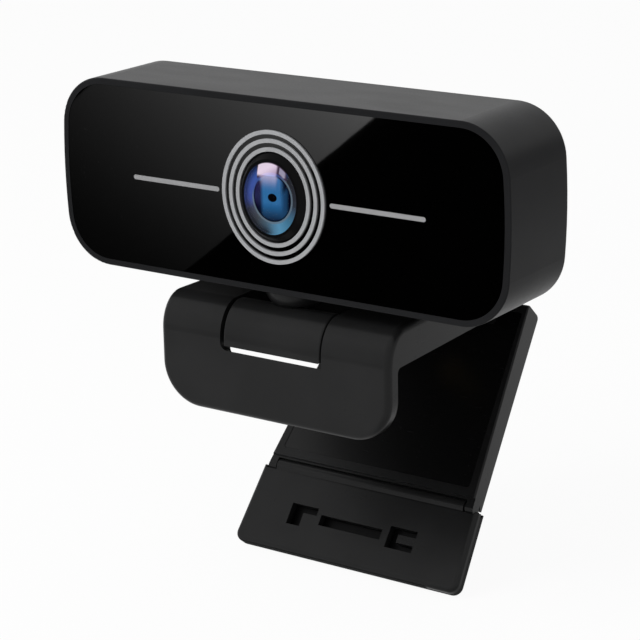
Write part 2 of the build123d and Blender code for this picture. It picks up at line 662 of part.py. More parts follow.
with BuildPart() as clip_arm:
    with BuildSketch(Plane.YZ) as side_view:
        with BuildLine():
            Line((LIP_FRONT_Y, LIP_BOTTOM_Z), (LIP_FRONT_Y, NOSE_Z))
            EllipticalCenterArc((NOSE_Y, NOSE_Z), NOSE_DEPTH, NOSE_HEIGHT, 90, arc_size=90)
            Line((NOSE_Y, ARM_TOP_Z), (HEEL_BACK_Y - HEEL_RADIUS, ARM_TOP_Z))
            RadiusArc(
                (HEEL_BACK_Y - HEEL_RADIUS, ARM_TOP_Z),
                (HEEL_BACK_Y, ARM_TOP_Z - HEEL_RADIUS),
                HEEL_RADIUS,
            )
            Line((HEEL_BACK_Y, ARM_TOP_Z - HEEL_RADIUS), (HEEL_BACK_Y, LEG_HINGE_Z))
            ThreePointArc(
                (HEEL_BACK_Y, LEG_HINGE_Z),
                (LEG_HINGE_Y, LEG_HINGE_Z - ARM_KNUCKLE_RADIUS),
                (WEB_FRONT_Y, LEG_HINGE_Z),
            )
            Line((WEB_FRONT_Y, LEG_HINGE_Z), (WEB_FRONT_Y, ARM_UNDER_Z))
            Line((WEB_FRONT_Y, ARM_UNDER_Z), (LIP_BACK_Y, ARM_UNDER_Z))
            Line((LIP_BACK_Y, ARM_UNDER_Z), (LIP_BACK_Y, LIP_BOTTOM_Z))
            Line((LIP_BACK_Y, LIP_BOTTOM_Z), (LIP_FRONT_Y, LIP_BOTTOM_Z))
        make_face()
        inner_corners = side_view.vertices().filter_by_position(
            Axis.Y, ARM_UNDER_Z - 0.01, ARM_UNDER_Z + 0.01
        )
        fillet(inner_corners, 1.0)
    extrude(amount=CLIP_HALF_FRONT, both=True)
    with BuildSketch(Plane.XY.offset(LIP_BOTTOM_Z - 5)) as taper:
        with BuildLine():
            Polyline(
                (CLIP_HALF_FRONT, LIP_FRONT_Y),
                (CLIP_HALF_FRONT + 1, LIP_FRONT_Y),
                (CLIP_HALF_FRONT + 1, HEEL_BACK_Y + 1),
                (CLIP_HALF_REAR, HEEL_BACK_Y + 1),
                (CLIP_HALF_FRONT, LIP_FRONT_Y),
            )
        make_face()
        mirror(about=Plane.YZ)
    extrude(amount=ARM_TOP_Z - LIP_BOTTOM_Z + 10, mode=Mode.SUBTRACT)
    with BuildSketch(Plane.XY.offset(ARM_UNDER_Z)):
        for side in (-1, 1):
            with Locations((side * (ARM_KNUCKLE_HALF + CLIP_HALF_FRONT / 2), HEEL_BACK_Y)):
                Rectangle(CLIP_HALF_FRONT, 2 * (HEEL_BACK_Y - WEB_FRONT_Y + 1))
    extrude(amount=-20, mode=Mode.SUBTRACT)
    lip_corners = (
        clip_arm.edges()
        .filter_by_position(Axis.Z, LIP_BOTTOM_Z - 0.01, LIP_BOTTOM_Z + 0.01)
        .filter_by(lambda edge: abs(edge.center().X) > ARM_KNUCKLE_HALF)
    )
    fillet(lip_corners, LIP_CORNER)
    front_outline = (
        clip_arm.edges()
        .filter_by_position(Axis.Y, LIP_FRONT_Y - 0.01, LIP_FRONT_Y + 0.01)
        .filter_by_position(Axis.Z, LIP_BOTTOM_Z - 0.1, NOSE_Z - 0.1)
    )
    top_outline = (
        clip_arm.edges()
        .filter_by_position(Axis.Z, ARM_TOP_Z - 0.01, ARM_TOP_Z + 0.01)
        .filter_by(lambda edge: abs(edge.center().X) > ARM_KNUCKLE_HALF)
    )
    fillet(front_outline + top_outline, OUTER_EDGE)
    notch_height = ARM_TOP_Z + 5 - NOTCH_FLOOR_Z
    notch_plane = Plane(origin=(0, LIP_FRONT_Y, 0), x_dir=(1, 0, 0), z_dir=(0, -1, 0))
    with BuildSketch(notch_plane) as notch:
        with Locations(((NOTCH_LEFT + NOTCH_RIGHT) / 2, NOTCH_FLOOR_Z + notch_height / 2)):
            Rectangle(NOTCH_RIGHT - NOTCH_LEFT, notch_height)
        floor_corners = notch.vertices().filter_by_position(Axis.Y, -5, NOTCH_FLOOR_Z + 0.01)
        for corner, corner_radius in zip(floor_corners.sort_by(Axis.X), NOTCH_CORNERS):
            fillet(corner, corner_radius)
    extrude(amount=LIP_FRONT_Y - NOTCH_BACK_Y, mode=Mode.SUBTRACT)
    extrude(
        notch.sketch,
        amount=1.1 * (LIP_THICKNESS**2 + NOTCH_FLOOR_DROP**2) ** 0.5,
        dir=(0, LIP_THICKNESS, -NOTCH_FLOOR_DROP),
        mode=Mode.SUBTRACT,
    )
    with BuildSketch(Plane.YZ.offset(-CLIP_HALF_FRONT)):
        with Locations((TILT_Y, TILT_Z)):
            Circle(TILT_PIN_RADIUS)
    extrude(amount=CLIP_HALF_FRONT + TILT_PIN_HALF, mode=Mode.SUBTRACT)
    with BuildSketch(Plane.YZ.offset(-CLIP_HALF_FRONT)):
        with Locations((LEG_HINGE_Y, LEG_HINGE_Z)):
            Circle(LEG_PIN_RADIUS)
    extrude(amount=2 * CLIP_HALF_FRONT, mode=Mode.SUBTRACT)
    seat_middle_y = (SEAT_PAD_FRONT_Y + SEAT_PAD_REAR_Y) / 2
    with BuildSketch(Plane.XY.offset(ARM_UNDER_Z)):
        with Locations((0, seat_middle_y)):
            RectangleRounded(2 * SEAT_PAD_HALF, SEAT_PAD_REAR_Y - SEAT_PAD_FRONT_Y, 3)
    extrude(amount=PAD_RECESS, mode=Mode.SUBTRACT)
    with BuildSketch(Plane.XY.offset(ARM_UNDER_Z)):
        with Locations((0, INSERT_Y)):
            Circle(INSERT_RADIUS)
    extrude(amount=INSERT_DEPTH + PAD_RECESS, mode=Mode.SUBTRACT)
    lip_back = Plane(origin=(0, LIP_BACK_Y, 0), x_dir=(1, 0, 0), z_dir=(0, -1, 0))
    with BuildSketch(lip_back):
        with Locations((0, LIP_PAD_MIDDLE_Z)):
            RectangleRounded(LIP_PAD_WIDTH, LIP_PAD_HEIGHT, LIP_PAD_HEIGHT * 0.45)
    extrude(amount=PAD_RECESS, mode=Mode.SUBTRACT)
clip_arm.part.label = "clip_arm"
export_step(clip_arm.part, "parts/clip_arm.step")

# ---------------------------------------------------------------- clip hardware and pads

with BuildPart() as seat_pad:
    with BuildSketch(Plane.XY):
        with Locations((0, seat_middle_y)):
            RectangleRounded(2 * SEAT_PAD_HALF, SEAT_PAD_REAR_Y - SEAT_PAD_FRONT_Y, 3)
    extrude(amount=SEAT_PAD_PROUD + PAD_RECESS)
    pad_rim = seat_pad.faces().sort_by(Axis.Z)[0].edges()
    fillet(pad_rim, 0.5)
    with BuildSketch(Plane.XY):
        with Locations((0, INSERT_Y)):
            Circle(INSERT_RADIUS + 0.6)
    extrude(amount=SEAT_PAD_PROUD + PAD_RECESS, mode=Mode.SUBTRACT)
    with BuildSketch(Plane.XY):
        with Locations((0, INSERT_Y - GROOVE_PITCH * 4)):
            with GridLocations(0, GROOVE_PITCH, 1, 4):
                Rectangle(2 * SEAT_PAD_HALF - 4, GROOVE_WIDTH)
    extrude(amount=GROOVE_DEPTH, mode=Mode.SUBTRACT)
seat_pad.part.label = "seat_pad"
export_step(seat_pad.part, "parts/seat_pad.step")

with BuildPart() as lip_pad:
    with BuildSketch(lip_back.offset(PAD_RECESS)):
        with Locations((0, LIP_PAD_MIDDLE_Z)):
            RectangleRounded(LIP_PAD_WIDTH, LIP_PAD_HEIGHT, LIP_PAD_HEIGHT * 0.45)
    extrude(amount=-(PAD_RECESS + LIP_PAD_PROUD))
    pad_rim = lip_pad.faces().sort_by(Axis.Y)[-1].edges()
    fillet(pad_rim, 0.35)
lip_pad.part.label = "lip_pad"
export_step(lip_pad.part, "parts/lip_pad.step")

with BuildPart() as tripod_insert:
    with BuildSketch(Plane.XY.offset(ARM_UNDER_Z + PAD_RECESS)):
        with Locations((0, INSERT_Y)):
            Circle(INSERT_RADIUS)
            Circle(INSERT_BORE, mode=Mode.SUBTRACT)
    extrude(amount=INSERT_DEPTH)
tripod_insert.part.label = "tripod_insert"
export_step(tripod_insert.part, "parts/tripod_insert.step")

with BuildPart() as tilt_pin:
    with BuildSketch(Plane.YZ.offset(-TILT_PIN_HALF)):
        with Locations((TILT_Y, TILT_Z)):
            Circle(TILT_PIN_RADIUS)
    extrude(amount=2 * TILT_PIN_HALF)
tilt_pin.part.label = "tilt_pin"
export_step(tilt_pin.part, "parts/tilt_pin.step")

with BuildPart() as pin_plug:
    with BuildSketch(Plane.YZ.offset(-TILT_PIN_HALF)):
        with Locations((TILT_Y, TILT_Z)):
            Circle(TILT_PIN_RADIUS)
    extrude(amount=-(CLIP_HALF_FRONT - TILT_PIN_HALF))
pin_plug.part.label = "pin_plug"
export_step(pin_plug.part, "parts/pin_plug.step")

with BuildPart() as leg_pin:
    with BuildSketch(Plane.YZ.offset(-LEG_PIN_HALF)):
        with Locations((LEG_HINGE_Y, LEG_HINGE_Z)):
            Circle(LEG_PIN_RADIUS)
    extrude(amount=2 * LEG_PIN_HALF)
leg_pin.part.label = "leg_pin"
export_step(leg_pin.part, "parts/leg_pin.step")

# ---------------------------------------------------------------- folding leg

CUTOUT_HALF = ARM_KNUCKLE_HALF + MOVING_GAP
LEG_SKIRT = 39.6  # the back of the leg reaches down behind the foot's barrel
LEG_GROOVE_RADIUS = FOOT_BARREL + 0.35


def leg_half(y):
    """Half-width of the leg at a height y on its own plane, zero at its hinge."""
    return LEG_HALF_TOP - (LEG_HALF_END - LEG_HALF_TOP) * y / LEG_LENGTH


def leg_pad_outline(gap):
    """Outline of the pad on the leg's inner face, less a gap all round."""
    top = -0.35 - gap
    shelf = -(LEG_CUTOUT + LEG_BORDER) - gap
    bottom = -(LEG_LENGTH - LEG_BORDER_FOOT) + gap
    right_top = leg_half(top) - LEG_BORDER - gap
    right_end = leg_half(bottom) - LEG_BORDER_FOOT - gap
    inner = CUTOUT_HALF + LEG_BORDER + gap
    with BuildSketch() as outline:
        with BuildLine():
            Polyline(
                (right_end, bottom),
                (right_top, top),
                (inner, top),
                (inner, shelf),
                (-inner, shelf),
                (-inner, top),
                (-right_top, top),
                (-right_end, bottom),
                (right_end, bottom),
            )
        make_face()
        fillet(outline.vertices(), 0.6)
    return outline.sketch


with BuildPart() as leg_frame:
    with BuildSketch(leg_profile) as leg_side:
        with BuildLine():
            Polyline(
                (LEG_FRONT, -LEG_LENGTH),
                (LEG_FRONT, LEG_FRONT),
                (LEG_BACK_TOP, LEG_FRONT),
                (LEG_BACK_END, -LEG_SKIRT),
                (0, -LEG_SKIRT),
                (0, -LEG_LENGTH),
                (LEG_FRONT, -LEG_LENGTH),
            )
        make_face()
        fillet(leg_side.vertices().sort_by(Axis.Y)[-2:], 1.0)
        with Locations((0, -FOOT_HINGE_DROP)):
            Circle(LEG_GROOVE_RADIUS, mode=Mode.SUBTRACT)
    extrude(amount=LEG_HALF_END + 1, both=True)
    with BuildSketch(leg_profile):
        with Locations((0, -FOOT_HINGE_DROP)):
            Circle(FOOT_LUG_RADIUS)
        with Locations((0, -(LEG_LENGTH + FOOT_HINGE_DROP) / 2)):
            Rectangle(2 * FOOT_LUG_RADIUS, FOOT_HINGE_DROP - LEG_LENGTH + 0.4)
    extrude(amount=LEG_HALF_END + 1, both=True)
    with BuildSketch(leg_face):
        with BuildLine():
            Polyline(
                (leg_half(3), 3),
                (leg_half(-45), -45),
                (-leg_half(-45), -45),
                (-leg_half(3), 3),
                (leg_half(3), 3),
            )
        make_face()
    extrude(amount=10, both=True, mode=Mode.INTERSECT)
    long_edges = leg_frame.edges().filter_by(
        lambda edge: edge.length > 30 and abs(edge.center().X) > CUTOUT_HALF
    )
    fillet(long_edges, 0.4)
    with BuildSketch(leg_face):
        with Locations((0, 2 - LEG_CUTOUT / 2)):
            Rectangle(2 * CUTOUT_HALF, 4 + LEG_CUTOUT)
    extrude(amount=10, both=True, mode=Mode.SUBTRACT)
    with BuildSketch(leg_profile):
        with Locations((0, -FOOT_HINGE_DROP)):
            Circle(LEG_GROOVE_RADIUS)
    extrude(amount=LUG_INNER, both=True, mode=Mode.SUBTRACT)
    with BuildSketch(leg_face.offset(LEG_FRONT)):
        add(leg_pad_outline(0))
    extrude(amount=-LEG_RECESS, mode=Mode.SUBTRACT)
    with BuildSketch(leg_profile.offset(-LEG_PIN_HALF - 0.1)):
        Circle(LEG_PIN_RADIUS + RUNNING_GAP)
    extrude(amount=2 * LEG_PIN_HALF + 5, mode=Mode.SUBTRACT)
    with BuildSketch(leg_profile.offset(-FOOT_PIN_HALF)):
        with Locations((0, -FOOT_HINGE_DROP)):
            Circle(FOOT_PIN_RADIUS)
    extrude(amount=2 * FOOT_PIN_HALF + 5, mode=Mode.SUBTRACT)
leg_frame.part.label = "leg_frame"
export_step(leg_frame.part, "parts/leg_frame.step")

with BuildPart() as leg_pad:
    with BuildSketch(leg_face.offset(LEG_FRONT - LEG_RECESS)):
        add(leg_pad_outline(SLIP_GAP))
    extrude(amount=LEG_RECESS - 0.1)
leg_pad.part.label = "leg_pad"
export_step(leg_pad.part, "parts/leg_pad.step")

with BuildPart() as foot_pin:
    with BuildSketch(leg_profile.offset(-FOOT_PIN_HALF)):
        with Locations((0, -FOOT_HINGE_DROP)):
            Circle(FOOT_PIN_RADIUS)
    extrude(amount=2 * FOOT_PIN_HALF)
foot_pin.part.label = "foot_pin"
export_step(foot_pin.part, "parts/foot_pin.step")

# ---------------------------------------------------------------- hinged foot

LEFT_POCKET = (-14.6, -8.6, 3.0, 1.5)  # left end, right end, stroke, top arm
RIGHT_POCKET = (7.7, 13.6, 2.1, 1.3)
POCKET_HEIGHT = 4.2
POCKET_DROP = 8.9
SLOT = (-7.6, 6.2)
SLOT_HEIGHT = 2.05
POCKET_DEPTH = 2.3
FOOT_SCREW_X = 18.5
FOOT_SCREW_DROP = 9.0
FOOT_EAR = 23.4
FOOT_GROOVE_RADIUS = FOOT_LUG_RADIUS + MOVING_GAP


def foot_outline():
    """Front view of the foot below its hinge: it widens to its rounded end."""
    with BuildSketch() as outline:
        with BuildLine():
            Polyline(
                (FOOT_HALF_TOP, -FOOT_TOP),
                (FOOT_HALF_END, -FOOT_LENGTH),
                (-FOOT_HALF_END, -FOOT_LENGTH),
                (-FOOT_HALF_TOP, -FOOT_TOP),
                (FOOT_HALF_TOP, -FOOT_TOP),
            )
        make_face()
        fillet(outline.vertices().sort_by(Axis.Y)[:2], 1.8)
    return outline.sketch


def foot_recesses():
    """Front view of the foot's recesses: a hooked pocket at each side and a slot between them."""
    top = -POCKET_DROP + POCKET_HEIGHT / 2
    with BuildSketch() as recesses:
        for left, right, stroke, arm in (LEFT_POCKET, RIGHT_POCKET):
            with Locations(((left + right) / 2, -POCKET_DROP)):
                Rectangle(right - left, POCKET_HEIGHT)
        for left, right, stroke, arm in (LEFT_POCKET, RIGHT_POCKET):
            bottom_arm = 0 if left < 0 else arm
            island_top = top - arm
            island_foot = top - POCKET_HEIGHT + bottom_arm
            with Locations(((left + stroke + right) / 2 + 0.5, (island_top + island_foot) / 2)):
                Rectangle(right - left - stroke + 1, island_top - island_foot, mode=Mode.SUBTRACT)
        with Locations(((SLOT[0] + SLOT[1]) / 2, -POCKET_DROP)):
            Rectangle(SLOT[1] - SLOT[0], SLOT_HEIGHT)
    return recesses.sketch


with BuildPart() as lug_grooves:
    for side in (-1, 1):
        with BuildSketch(foot_profile.offset(side * (LUG_INNER - MOVING_GAP))):
            Circle(FOOT_GROOVE_RADIUS)
        extrude(amount=side * (FOOT_EAR - LUG_INNER + MOVING_GAP))

with BuildPart() as foot_shell:
    with BuildSketch(foot_face.offset(FOOT_SPLIT)):
        add(foot_outline())
    extrude(amount=FOOT_INNER - FOOT_SPLIT)
    inner_rim = foot_shell.faces().sort_by(Axis(foot_axis, foot_face.z_dir))[-1].edges()
    fillet(inner_rim, 0.9)
    with BuildSketch(foot_profile):
        Circle(FOOT_BARREL)
    extrude(amount=LUG_INNER - MOVING_GAP, both=True)
    with BuildSketch(foot_profile):
        Circle(FOOT_PIN_RADIUS + RUNNING_GAP)
    extrude(amount=FOOT_HALF_END, both=True, mode=Mode.SUBTRACT)
    add(lug_grooves.part, mode=Mode.SUBTRACT)
    with BuildSketch(foot_face.offset(FOOT_INNER)):
        add(foot_recesses())
    extrude(amount=FOOT_SPLIT - FOOT_INNER, mode=Mode.SUBTRACT)
    with BuildSketch(foot_face.offset(FOOT_SPLIT)):
        with Locations((0, -FOOT_SCREW_DROP)):
            with GridLocations(2 * FOOT_SCREW_X, 0, 2, 1):
                Circle(0.5)
    extrude(amount=1.1, mode=Mode.SUBTRACT)
foot_shell.part.label = "foot_shell"
export_step(foot_shell.part, "parts/foot_shell.step")

with BuildPart() as foot_cover:
    with BuildSketch(foot_face.offset(FOOT_SPLIT)):
        add(foot_outline())
    extrude(amount=FOOT_OUTER - FOOT_SPLIT)
    outer_rim = foot_cover.faces().sort_by(Axis(foot_axis, foot_face.z_dir))[0].edges()
    fillet(outer_rim, 0.5)
    with BuildSketch(foot_profile):
        Circle(FOOT_BARREL)
    extrude(amount=FOOT_HALF_END, both=True, mode=Mode.SUBTRACT)
    add(lug_grooves.part, mode=Mode.SUBTRACT)
    with BuildSketch(foot_face.offset(FOOT_SPLIT)):
        add(foot_recesses())
    extrude(amount=FOOT_INNER - FOOT_SPLIT - POCKET_DEPTH, mode=Mode.SUBTRACT)
    with BuildSketch(foot_face.offset(FOOT_OUTER)):
        with Locations((0, -FOOT_SCREW_DROP)):
            with GridLocations(2 * FOOT_SCREW_X, 0, 2, 1):
                Circle(1.3)
    extrude(amount=0.8, mode=Mode.SUBTRACT)
    with BuildSketch(foot_face.offset(FOOT_OUTER)):
        with Locations((0, -FOOT_SCREW_DROP)):
            with GridLocations(2 * FOOT_SCREW_X, 0, 2, 1):
                Circle(0.55)
    extrude(amount=FOOT_SPLIT - FOOT_OUTER, mode=Mode.SUBTRACT)
foot_cover.part.label = "foot_cover"
export_step(foot_cover.part, "parts/foot_cover.step")

with BuildPart() as foot_screws:
    with BuildSketch(foot_face.offset(FOOT_OUTER + 0.8)):
        with Locations((0, -FOOT_SCREW_DROP)):
            with GridLocations(2 * FOOT_SCREW_X, 0, 2, 1):
                Circle(1.25)
    extrude(amount=-0.7)
    with BuildSketch(foot_face.offset(FOOT_OUTER + 0.8)):
        with Locations((0, -FOOT_SCREW_DROP)):
            with GridLocations(2 * FOOT_SCREW_X, 0, 2, 1):
                Circle(0.5)
    extrude(amount=FOOT_SPLIT - FOOT_OUTER - 0.8 + 1.0)
foot_screws.part.label = "foot_screws"
export_step(foot_screws.part, "parts/foot_screws.step")
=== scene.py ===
"""Looks of a monitor webcam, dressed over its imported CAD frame.

Every length is in metres, in the frame of the CAD model: the origin is on the face of the seat
pad, +X is to the right seen from in front of the lens, +Y points away behind the camera and +Z
is up. The lens looks along -Y.
"""

import logging
import math
from dataclasses import dataclass
from enum import Enum
from typing import Any, ClassVar, Mapping, Optional, Sequence, Union

import bmesh
import bpy
import numpy as np
from mathutils import Matrix, Vector

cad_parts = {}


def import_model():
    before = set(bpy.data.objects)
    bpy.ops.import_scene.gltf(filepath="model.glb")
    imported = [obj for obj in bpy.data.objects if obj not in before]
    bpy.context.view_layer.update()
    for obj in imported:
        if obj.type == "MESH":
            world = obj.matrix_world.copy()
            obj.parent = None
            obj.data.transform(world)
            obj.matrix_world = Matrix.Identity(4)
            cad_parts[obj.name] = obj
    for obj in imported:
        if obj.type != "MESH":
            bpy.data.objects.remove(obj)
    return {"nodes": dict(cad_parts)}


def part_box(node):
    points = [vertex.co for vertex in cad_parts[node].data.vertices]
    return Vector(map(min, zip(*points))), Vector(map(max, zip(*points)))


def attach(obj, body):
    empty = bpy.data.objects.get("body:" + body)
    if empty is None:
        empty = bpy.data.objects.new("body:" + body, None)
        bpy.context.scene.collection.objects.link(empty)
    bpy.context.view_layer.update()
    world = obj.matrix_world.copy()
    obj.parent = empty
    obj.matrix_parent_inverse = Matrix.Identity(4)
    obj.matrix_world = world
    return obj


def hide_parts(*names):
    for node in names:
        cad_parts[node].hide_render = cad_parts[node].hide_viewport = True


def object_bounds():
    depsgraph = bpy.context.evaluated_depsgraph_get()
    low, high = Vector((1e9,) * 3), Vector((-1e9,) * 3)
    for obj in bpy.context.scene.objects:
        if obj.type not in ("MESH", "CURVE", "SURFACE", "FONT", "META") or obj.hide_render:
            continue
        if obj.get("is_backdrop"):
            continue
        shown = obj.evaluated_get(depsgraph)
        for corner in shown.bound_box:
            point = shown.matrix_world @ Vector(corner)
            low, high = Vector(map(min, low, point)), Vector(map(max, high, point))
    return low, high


log = logging.getLogger("webcam")

Colour = tuple[float, float, float]
Point = tuple[float, float, float]
Value = Union["Sock", float, int, Sequence[float]]
Stops = Sequence[tuple[float, Colour]]

MM = 0.001
WHITE = (1.0, 1.0, 1.0, 1.0)
LENS_Z = 28.37 * MM
HEAD_FRONT_Y = -24.4 * MM

# Places of a Mix node's two colours among its inputs, and of the blend among its outputs.
MIX_FIRST, MIX_SECOND, MIX_RESULT = 6, 7, 2


# ------------------------------------------------------------------ shader graphs


class Sock:
    """One output socket of a material's nodes that can be used in a Python expression."""

    def __init__(self, graph: "Graph", socket: bpy.types.NodeSocket) -> None:
        """Wraps a socket.

        Args:
            graph: the graph the socket belongs to.
            socket: the output socket.
        """
        self.graph = graph
        self.socket = socket

    def _maths(self, operation: str, first: Value, second: Value) -> "Sock":
        """Adds one Math node.

        Args:
            operation: the Math node's operation.
            first: its first value.
            second: its second value.

        Returns:
            The node's result.
        """
        return self.graph.node("ShaderNodeMath", {"operation": operation}, {0: first, 1: second})

    def __add__(self, other: Value) -> "Sock":
        """Sum."""
        return self._maths("ADD", self, other)

    def __radd__(self, other: Value) -> "Sock":
        """Sum, with the socket second."""
        return self._maths("ADD", other, self)

    def __sub__(self, other: Value) -> "Sock":
        """Difference."""
        return self._maths("SUBTRACT", self, other)

    def __rsub__(self, other: Value) -> "Sock":
        """Difference, with the socket second."""
        return self._maths("SUBTRACT", other, self)

    def __mul__(self, other: Value) -> "Sock":
        """Product."""
        return self._maths("MULTIPLY", self, other)

    def __rmul__(self, other: Value) -> "Sock":
        """Product, with the socket second."""
        return self._maths("MULTIPLY", other, self)

    def __truediv__(self, other: Value) -> "Sock":
        """Quotient."""
        return self._maths("DIVIDE", self, other)

    def __rtruediv__(self, other: Value) -> "Sock":
        """Quotient, with the socket second."""
        return self._maths("DIVIDE", other, self)

    def __pow__(self, other: Value) -> "Sock":
        """Power."""
        return self._maths("POWER", self, other)

    def __abs__(self) -> "Sock":
        """The value without its sign."""
        return self._maths("ABSOLUTE", self, 0.0)

    def __gt__(self, other: Value) -> "Sock":
        """1 where the value is greater, else 0."""
        return self._maths("GREATER_THAN", self, other)

    def __lt__(self, other: Value) -> "Sock":
        """1 where the value is less, else 0."""
        return self._maths("LESS_THAN", self, other)

    def __mod__(self, other: Value) -> "Sock":
        """Remainder, always positive."""
        return self._maths("FLOORED_MODULO", self, other)

    def top(self, other: Value) -> "Sock":
        """The greater of two values."""
        return self._maths("MAXIMUM", self, other)

    def root(self) -> "Sock":
        """Square root."""
        return self._maths("SQRT", self, 0.0)

    def sine(self) -> "Sock":
        """Sine."""
        return self._maths("SINE", self, 0.0)

    def turn(self, other: Value) -> "Sock":
        """Angle of the point (other, self), in radians."""
        return self._maths("ARCTAN2", self, other)

    def step(self, start: float, end: float) -> "Sock":
        """A soft mask.

        Args:
            start: the value up to which it is 0.
            end: the value from which it is 1, which may be the lesser of the two.

        Returns:
            The mask, which changes smoothly between them.
        """
        low, high = sorted((start, end))
        sockets = {"Value": self, "From Min": low, "From Max": high, "To Min": 0.0, "To Max": 1.0}
        smooth = {"interpolation_type": "SMOOTHSTEP"}
        rise = self.graph.node("ShaderNodeMapRange", smooth, sockets)
        return rise if start < end else 1.0 - rise


class Graph:
    """The node graph of a material or of the world."""

    def __init__(self, owner: Union[bpy.types.Material, bpy.types.World]) -> None:
        """Empties the owner's nodes and starts anew.

        Args:
            owner: what the nodes belong to.
        """
        self.owner = owner
        owner.use_nodes = True
        self.tree = owner.node_tree
        self.tree.nodes.clear()

    @property
    def place(self) -> Sock:
        """The place on the object."""
        return self.node("ShaderNodeTexCoord", output="Object")

    @classmethod
    def material(cls, name: str) -> "Graph":
        """The empty graph of a new material."""
        return cls(bpy.data.materials.new(name))

    def node(
        self,
        kind: str,
        settings: Optional[Mapping[str, Any]] = None,
        sockets: Optional[Mapping[Union[int, str], Value]] = None,
        output: Union[int, str, None] = 0,
    ) -> Optional[Sock]:
        """Adds a node, sets it up and gives one of its outputs.

        Args:
            kind: the node's type.
            settings: its properties, set first; "stops" is a ramp's list of (place, colour).
            sockets: a value or a link for each of its input sockets.
            output: the output that is wanted, or None on a node that has none.

        Returns:
            The wanted output, wrapped.
        """
        made = self.tree.nodes.new(kind)
        for key, value in (settings or {}).items():
            if key == "stops":
                self._set_stops(made.color_ramp, value)
            else:
                setattr(made, key, value)
        for key, value in (sockets or {}).items():
            if isinstance(value, Sock):
                self.tree.links.new(value.socket, made.inputs[key])
            else:
                made.inputs[key].default_value = value
        return None if output is None else Sock(self, made.outputs[output])

    @staticmethod
    def _set_stops(ramp: bpy.types.ColorRamp, stops: Stops) -> None:
        """Gives a ramp its stops.

        Args:
            ramp: the colour ramp.
            stops: places from 0 to 1, each with its colour.
        """
        while len(ramp.elements) < len(stops):
            ramp.elements.new(1.0)
        for element, (where, colour) in zip(ramp.elements, stops):
            element.position = where
            element.color = (*colour, 1.0)

    def axes(self) -> tuple[Sock, Sock, Sock]:
        """The place on the object along each axis.

        Returns:
            X, Y and Z.
        """
        split = self.node("ShaderNodeSeparateXYZ", sockets={"Vector": self.place})
        outputs = split.socket.node.outputs
        return tuple(Sock(self, outputs[i]) for i in range(3))

    def noise(
        self, size: float, detail: float = 2.0, rough: float = 0.5, stretch: Point = (1, 1, 1)
    ) -> Sock:
        """Soft noise from 0 to 1 over the object.

        Args:
            size: the size of one feature, in metres.
            detail: how many finer layers it has.
            rough: how strong those are.
            stretch: how many times as long a feature is along each axis.

        Returns:
            The noise's value.
        """
        scale = tuple(1.0 / (size * times) for times in stretch)
        spot = self.node("ShaderNodeMapping", sockets={"Vector": self.place, "Scale": scale})
        sockets = {"Vector": spot, "Scale": 1.0, "Detail": detail, "Roughness": rough}
        return self.node("ShaderNodeTexNoise", sockets=sockets)

    def cells(self, size: float) -> Sock:
        """Distance to the middle of small random cells.

        Args:
            size: the size of one cell, in metres.

        Returns:
            The distance, in cells.
        """
        sockets = {"Vector": self.place, "Scale": 1.0 / size}
        return self.node("ShaderNodeTexVoronoi", sockets=sockets)

    def tint(self, mask: Value, without: Value, fully: Value) -> Sock:
        """Blends two colours.

        Args:
            mask: from 0 to 1.
            without: the colour at 0.
            fully: the colour at 1.

        Returns:
            The blended colour.
        """
        first, second = (c if isinstance(c, Sock) else (*c, 1.0) for c in (without, fully))
        sockets = {"Factor": mask, MIX_FIRST: first, MIX_SECOND: second}
        return self.node("ShaderNodeMix", {"data_type": "RGBA"}, sockets, output=MIX_RESULT)

    def ramp(self, value: Sock, stops: Stops) -> Sock:
        """A colour looked up by a value from 0 to 1.

        Args:
            value: the value.
            stops: the ramp's places and colours.

        Returns:
            The colour.
        """
        return self.node("ShaderNodeValToRGB", {"stops": stops}, {"Fac": value})

    def bump(self, height: Sock) -> Sock:
        """Turns a height in metres into a normal."""
        sockets = {"Strength": 1.0, "Distance": 1.0, "Height": height}
        return self.node("ShaderNodeBump", sockets=sockets)

    def surface(self, **sockets: Value) -> bpy.types.Material:
        """Ends the graph in a Principled surface.

        Args:
            sockets: its values, with an underscore for each space in a socket's name.

        Returns:
            The finished material.
        """
        named = {key.replace("_", " "): value for key, value in sockets.items()}
        return self.end(self.node("ShaderNodeBsdfPrincipled", sockets=named))

    def end(self, shader: Sock, kind: str = "ShaderNodeOutputMaterial") -> Any:
        """Ends the graph in a shader.

        Args:
            shader: the shader.
            kind: the type of the last node.

        Returns:
            The finished material or world.
        """
        self.node(kind, sockets={"Surface": shader}, output=None)
        return self.owner


def scaled(colour: Colour, factor: float) -> Colour:
    """A colour made lighter or darker."""
    return tuple(part * factor for part in colour)


# ------------------------------------------------------------------ finishes


@dataclass(frozen=True)
class MouldedPlastic:
    """Moulded plastic with a fine spark-eroded texture, soft waviness and slight mottling."""

    colour: Colour
    roughness: float
    specular: float
    grain: float = 0.30 * MM
    depth: float = 0.0025 * MM
    mottle: float = 0.14
    cloud: float = 14 * MM
    wave: float = 0.01 * MM
    smear: float = 5 * MM

    def make(self, name: str) -> bpy.types.Material:
        """Builds the material.

        Args:
            name: its name.

        Returns:
            The material.
        """
        g = Graph.material(name)
        texture = g.noise(self.grain, 2.0, 0.6)
        pits = g.cells(self.grain * 1.7)
        cloud = g.noise(self.cloud, 3.0, 0.55)
        smear = g.noise(self.smear, 2.0, 0.5, (3.0, 1.0, 1.0))
        darker, lighter = (scaled(self.colour, 1 + side * self.mottle) for side in (-1, 1))
        colour = g.tint(cloud.step(0.3, 0.7), darker, lighter)
        rough = self.roughness + (texture - 0.5) * 0.10 + (smear - 0.5) * 0.08
        height = texture * self.depth + pits * (self.depth / 2) + cloud * self.wave
        return g.surface(
            Base_Color=colour,
            Roughness=rough,
            Specular_IOR_Level=self.specular,
            Normal=g.bump(height),
        )


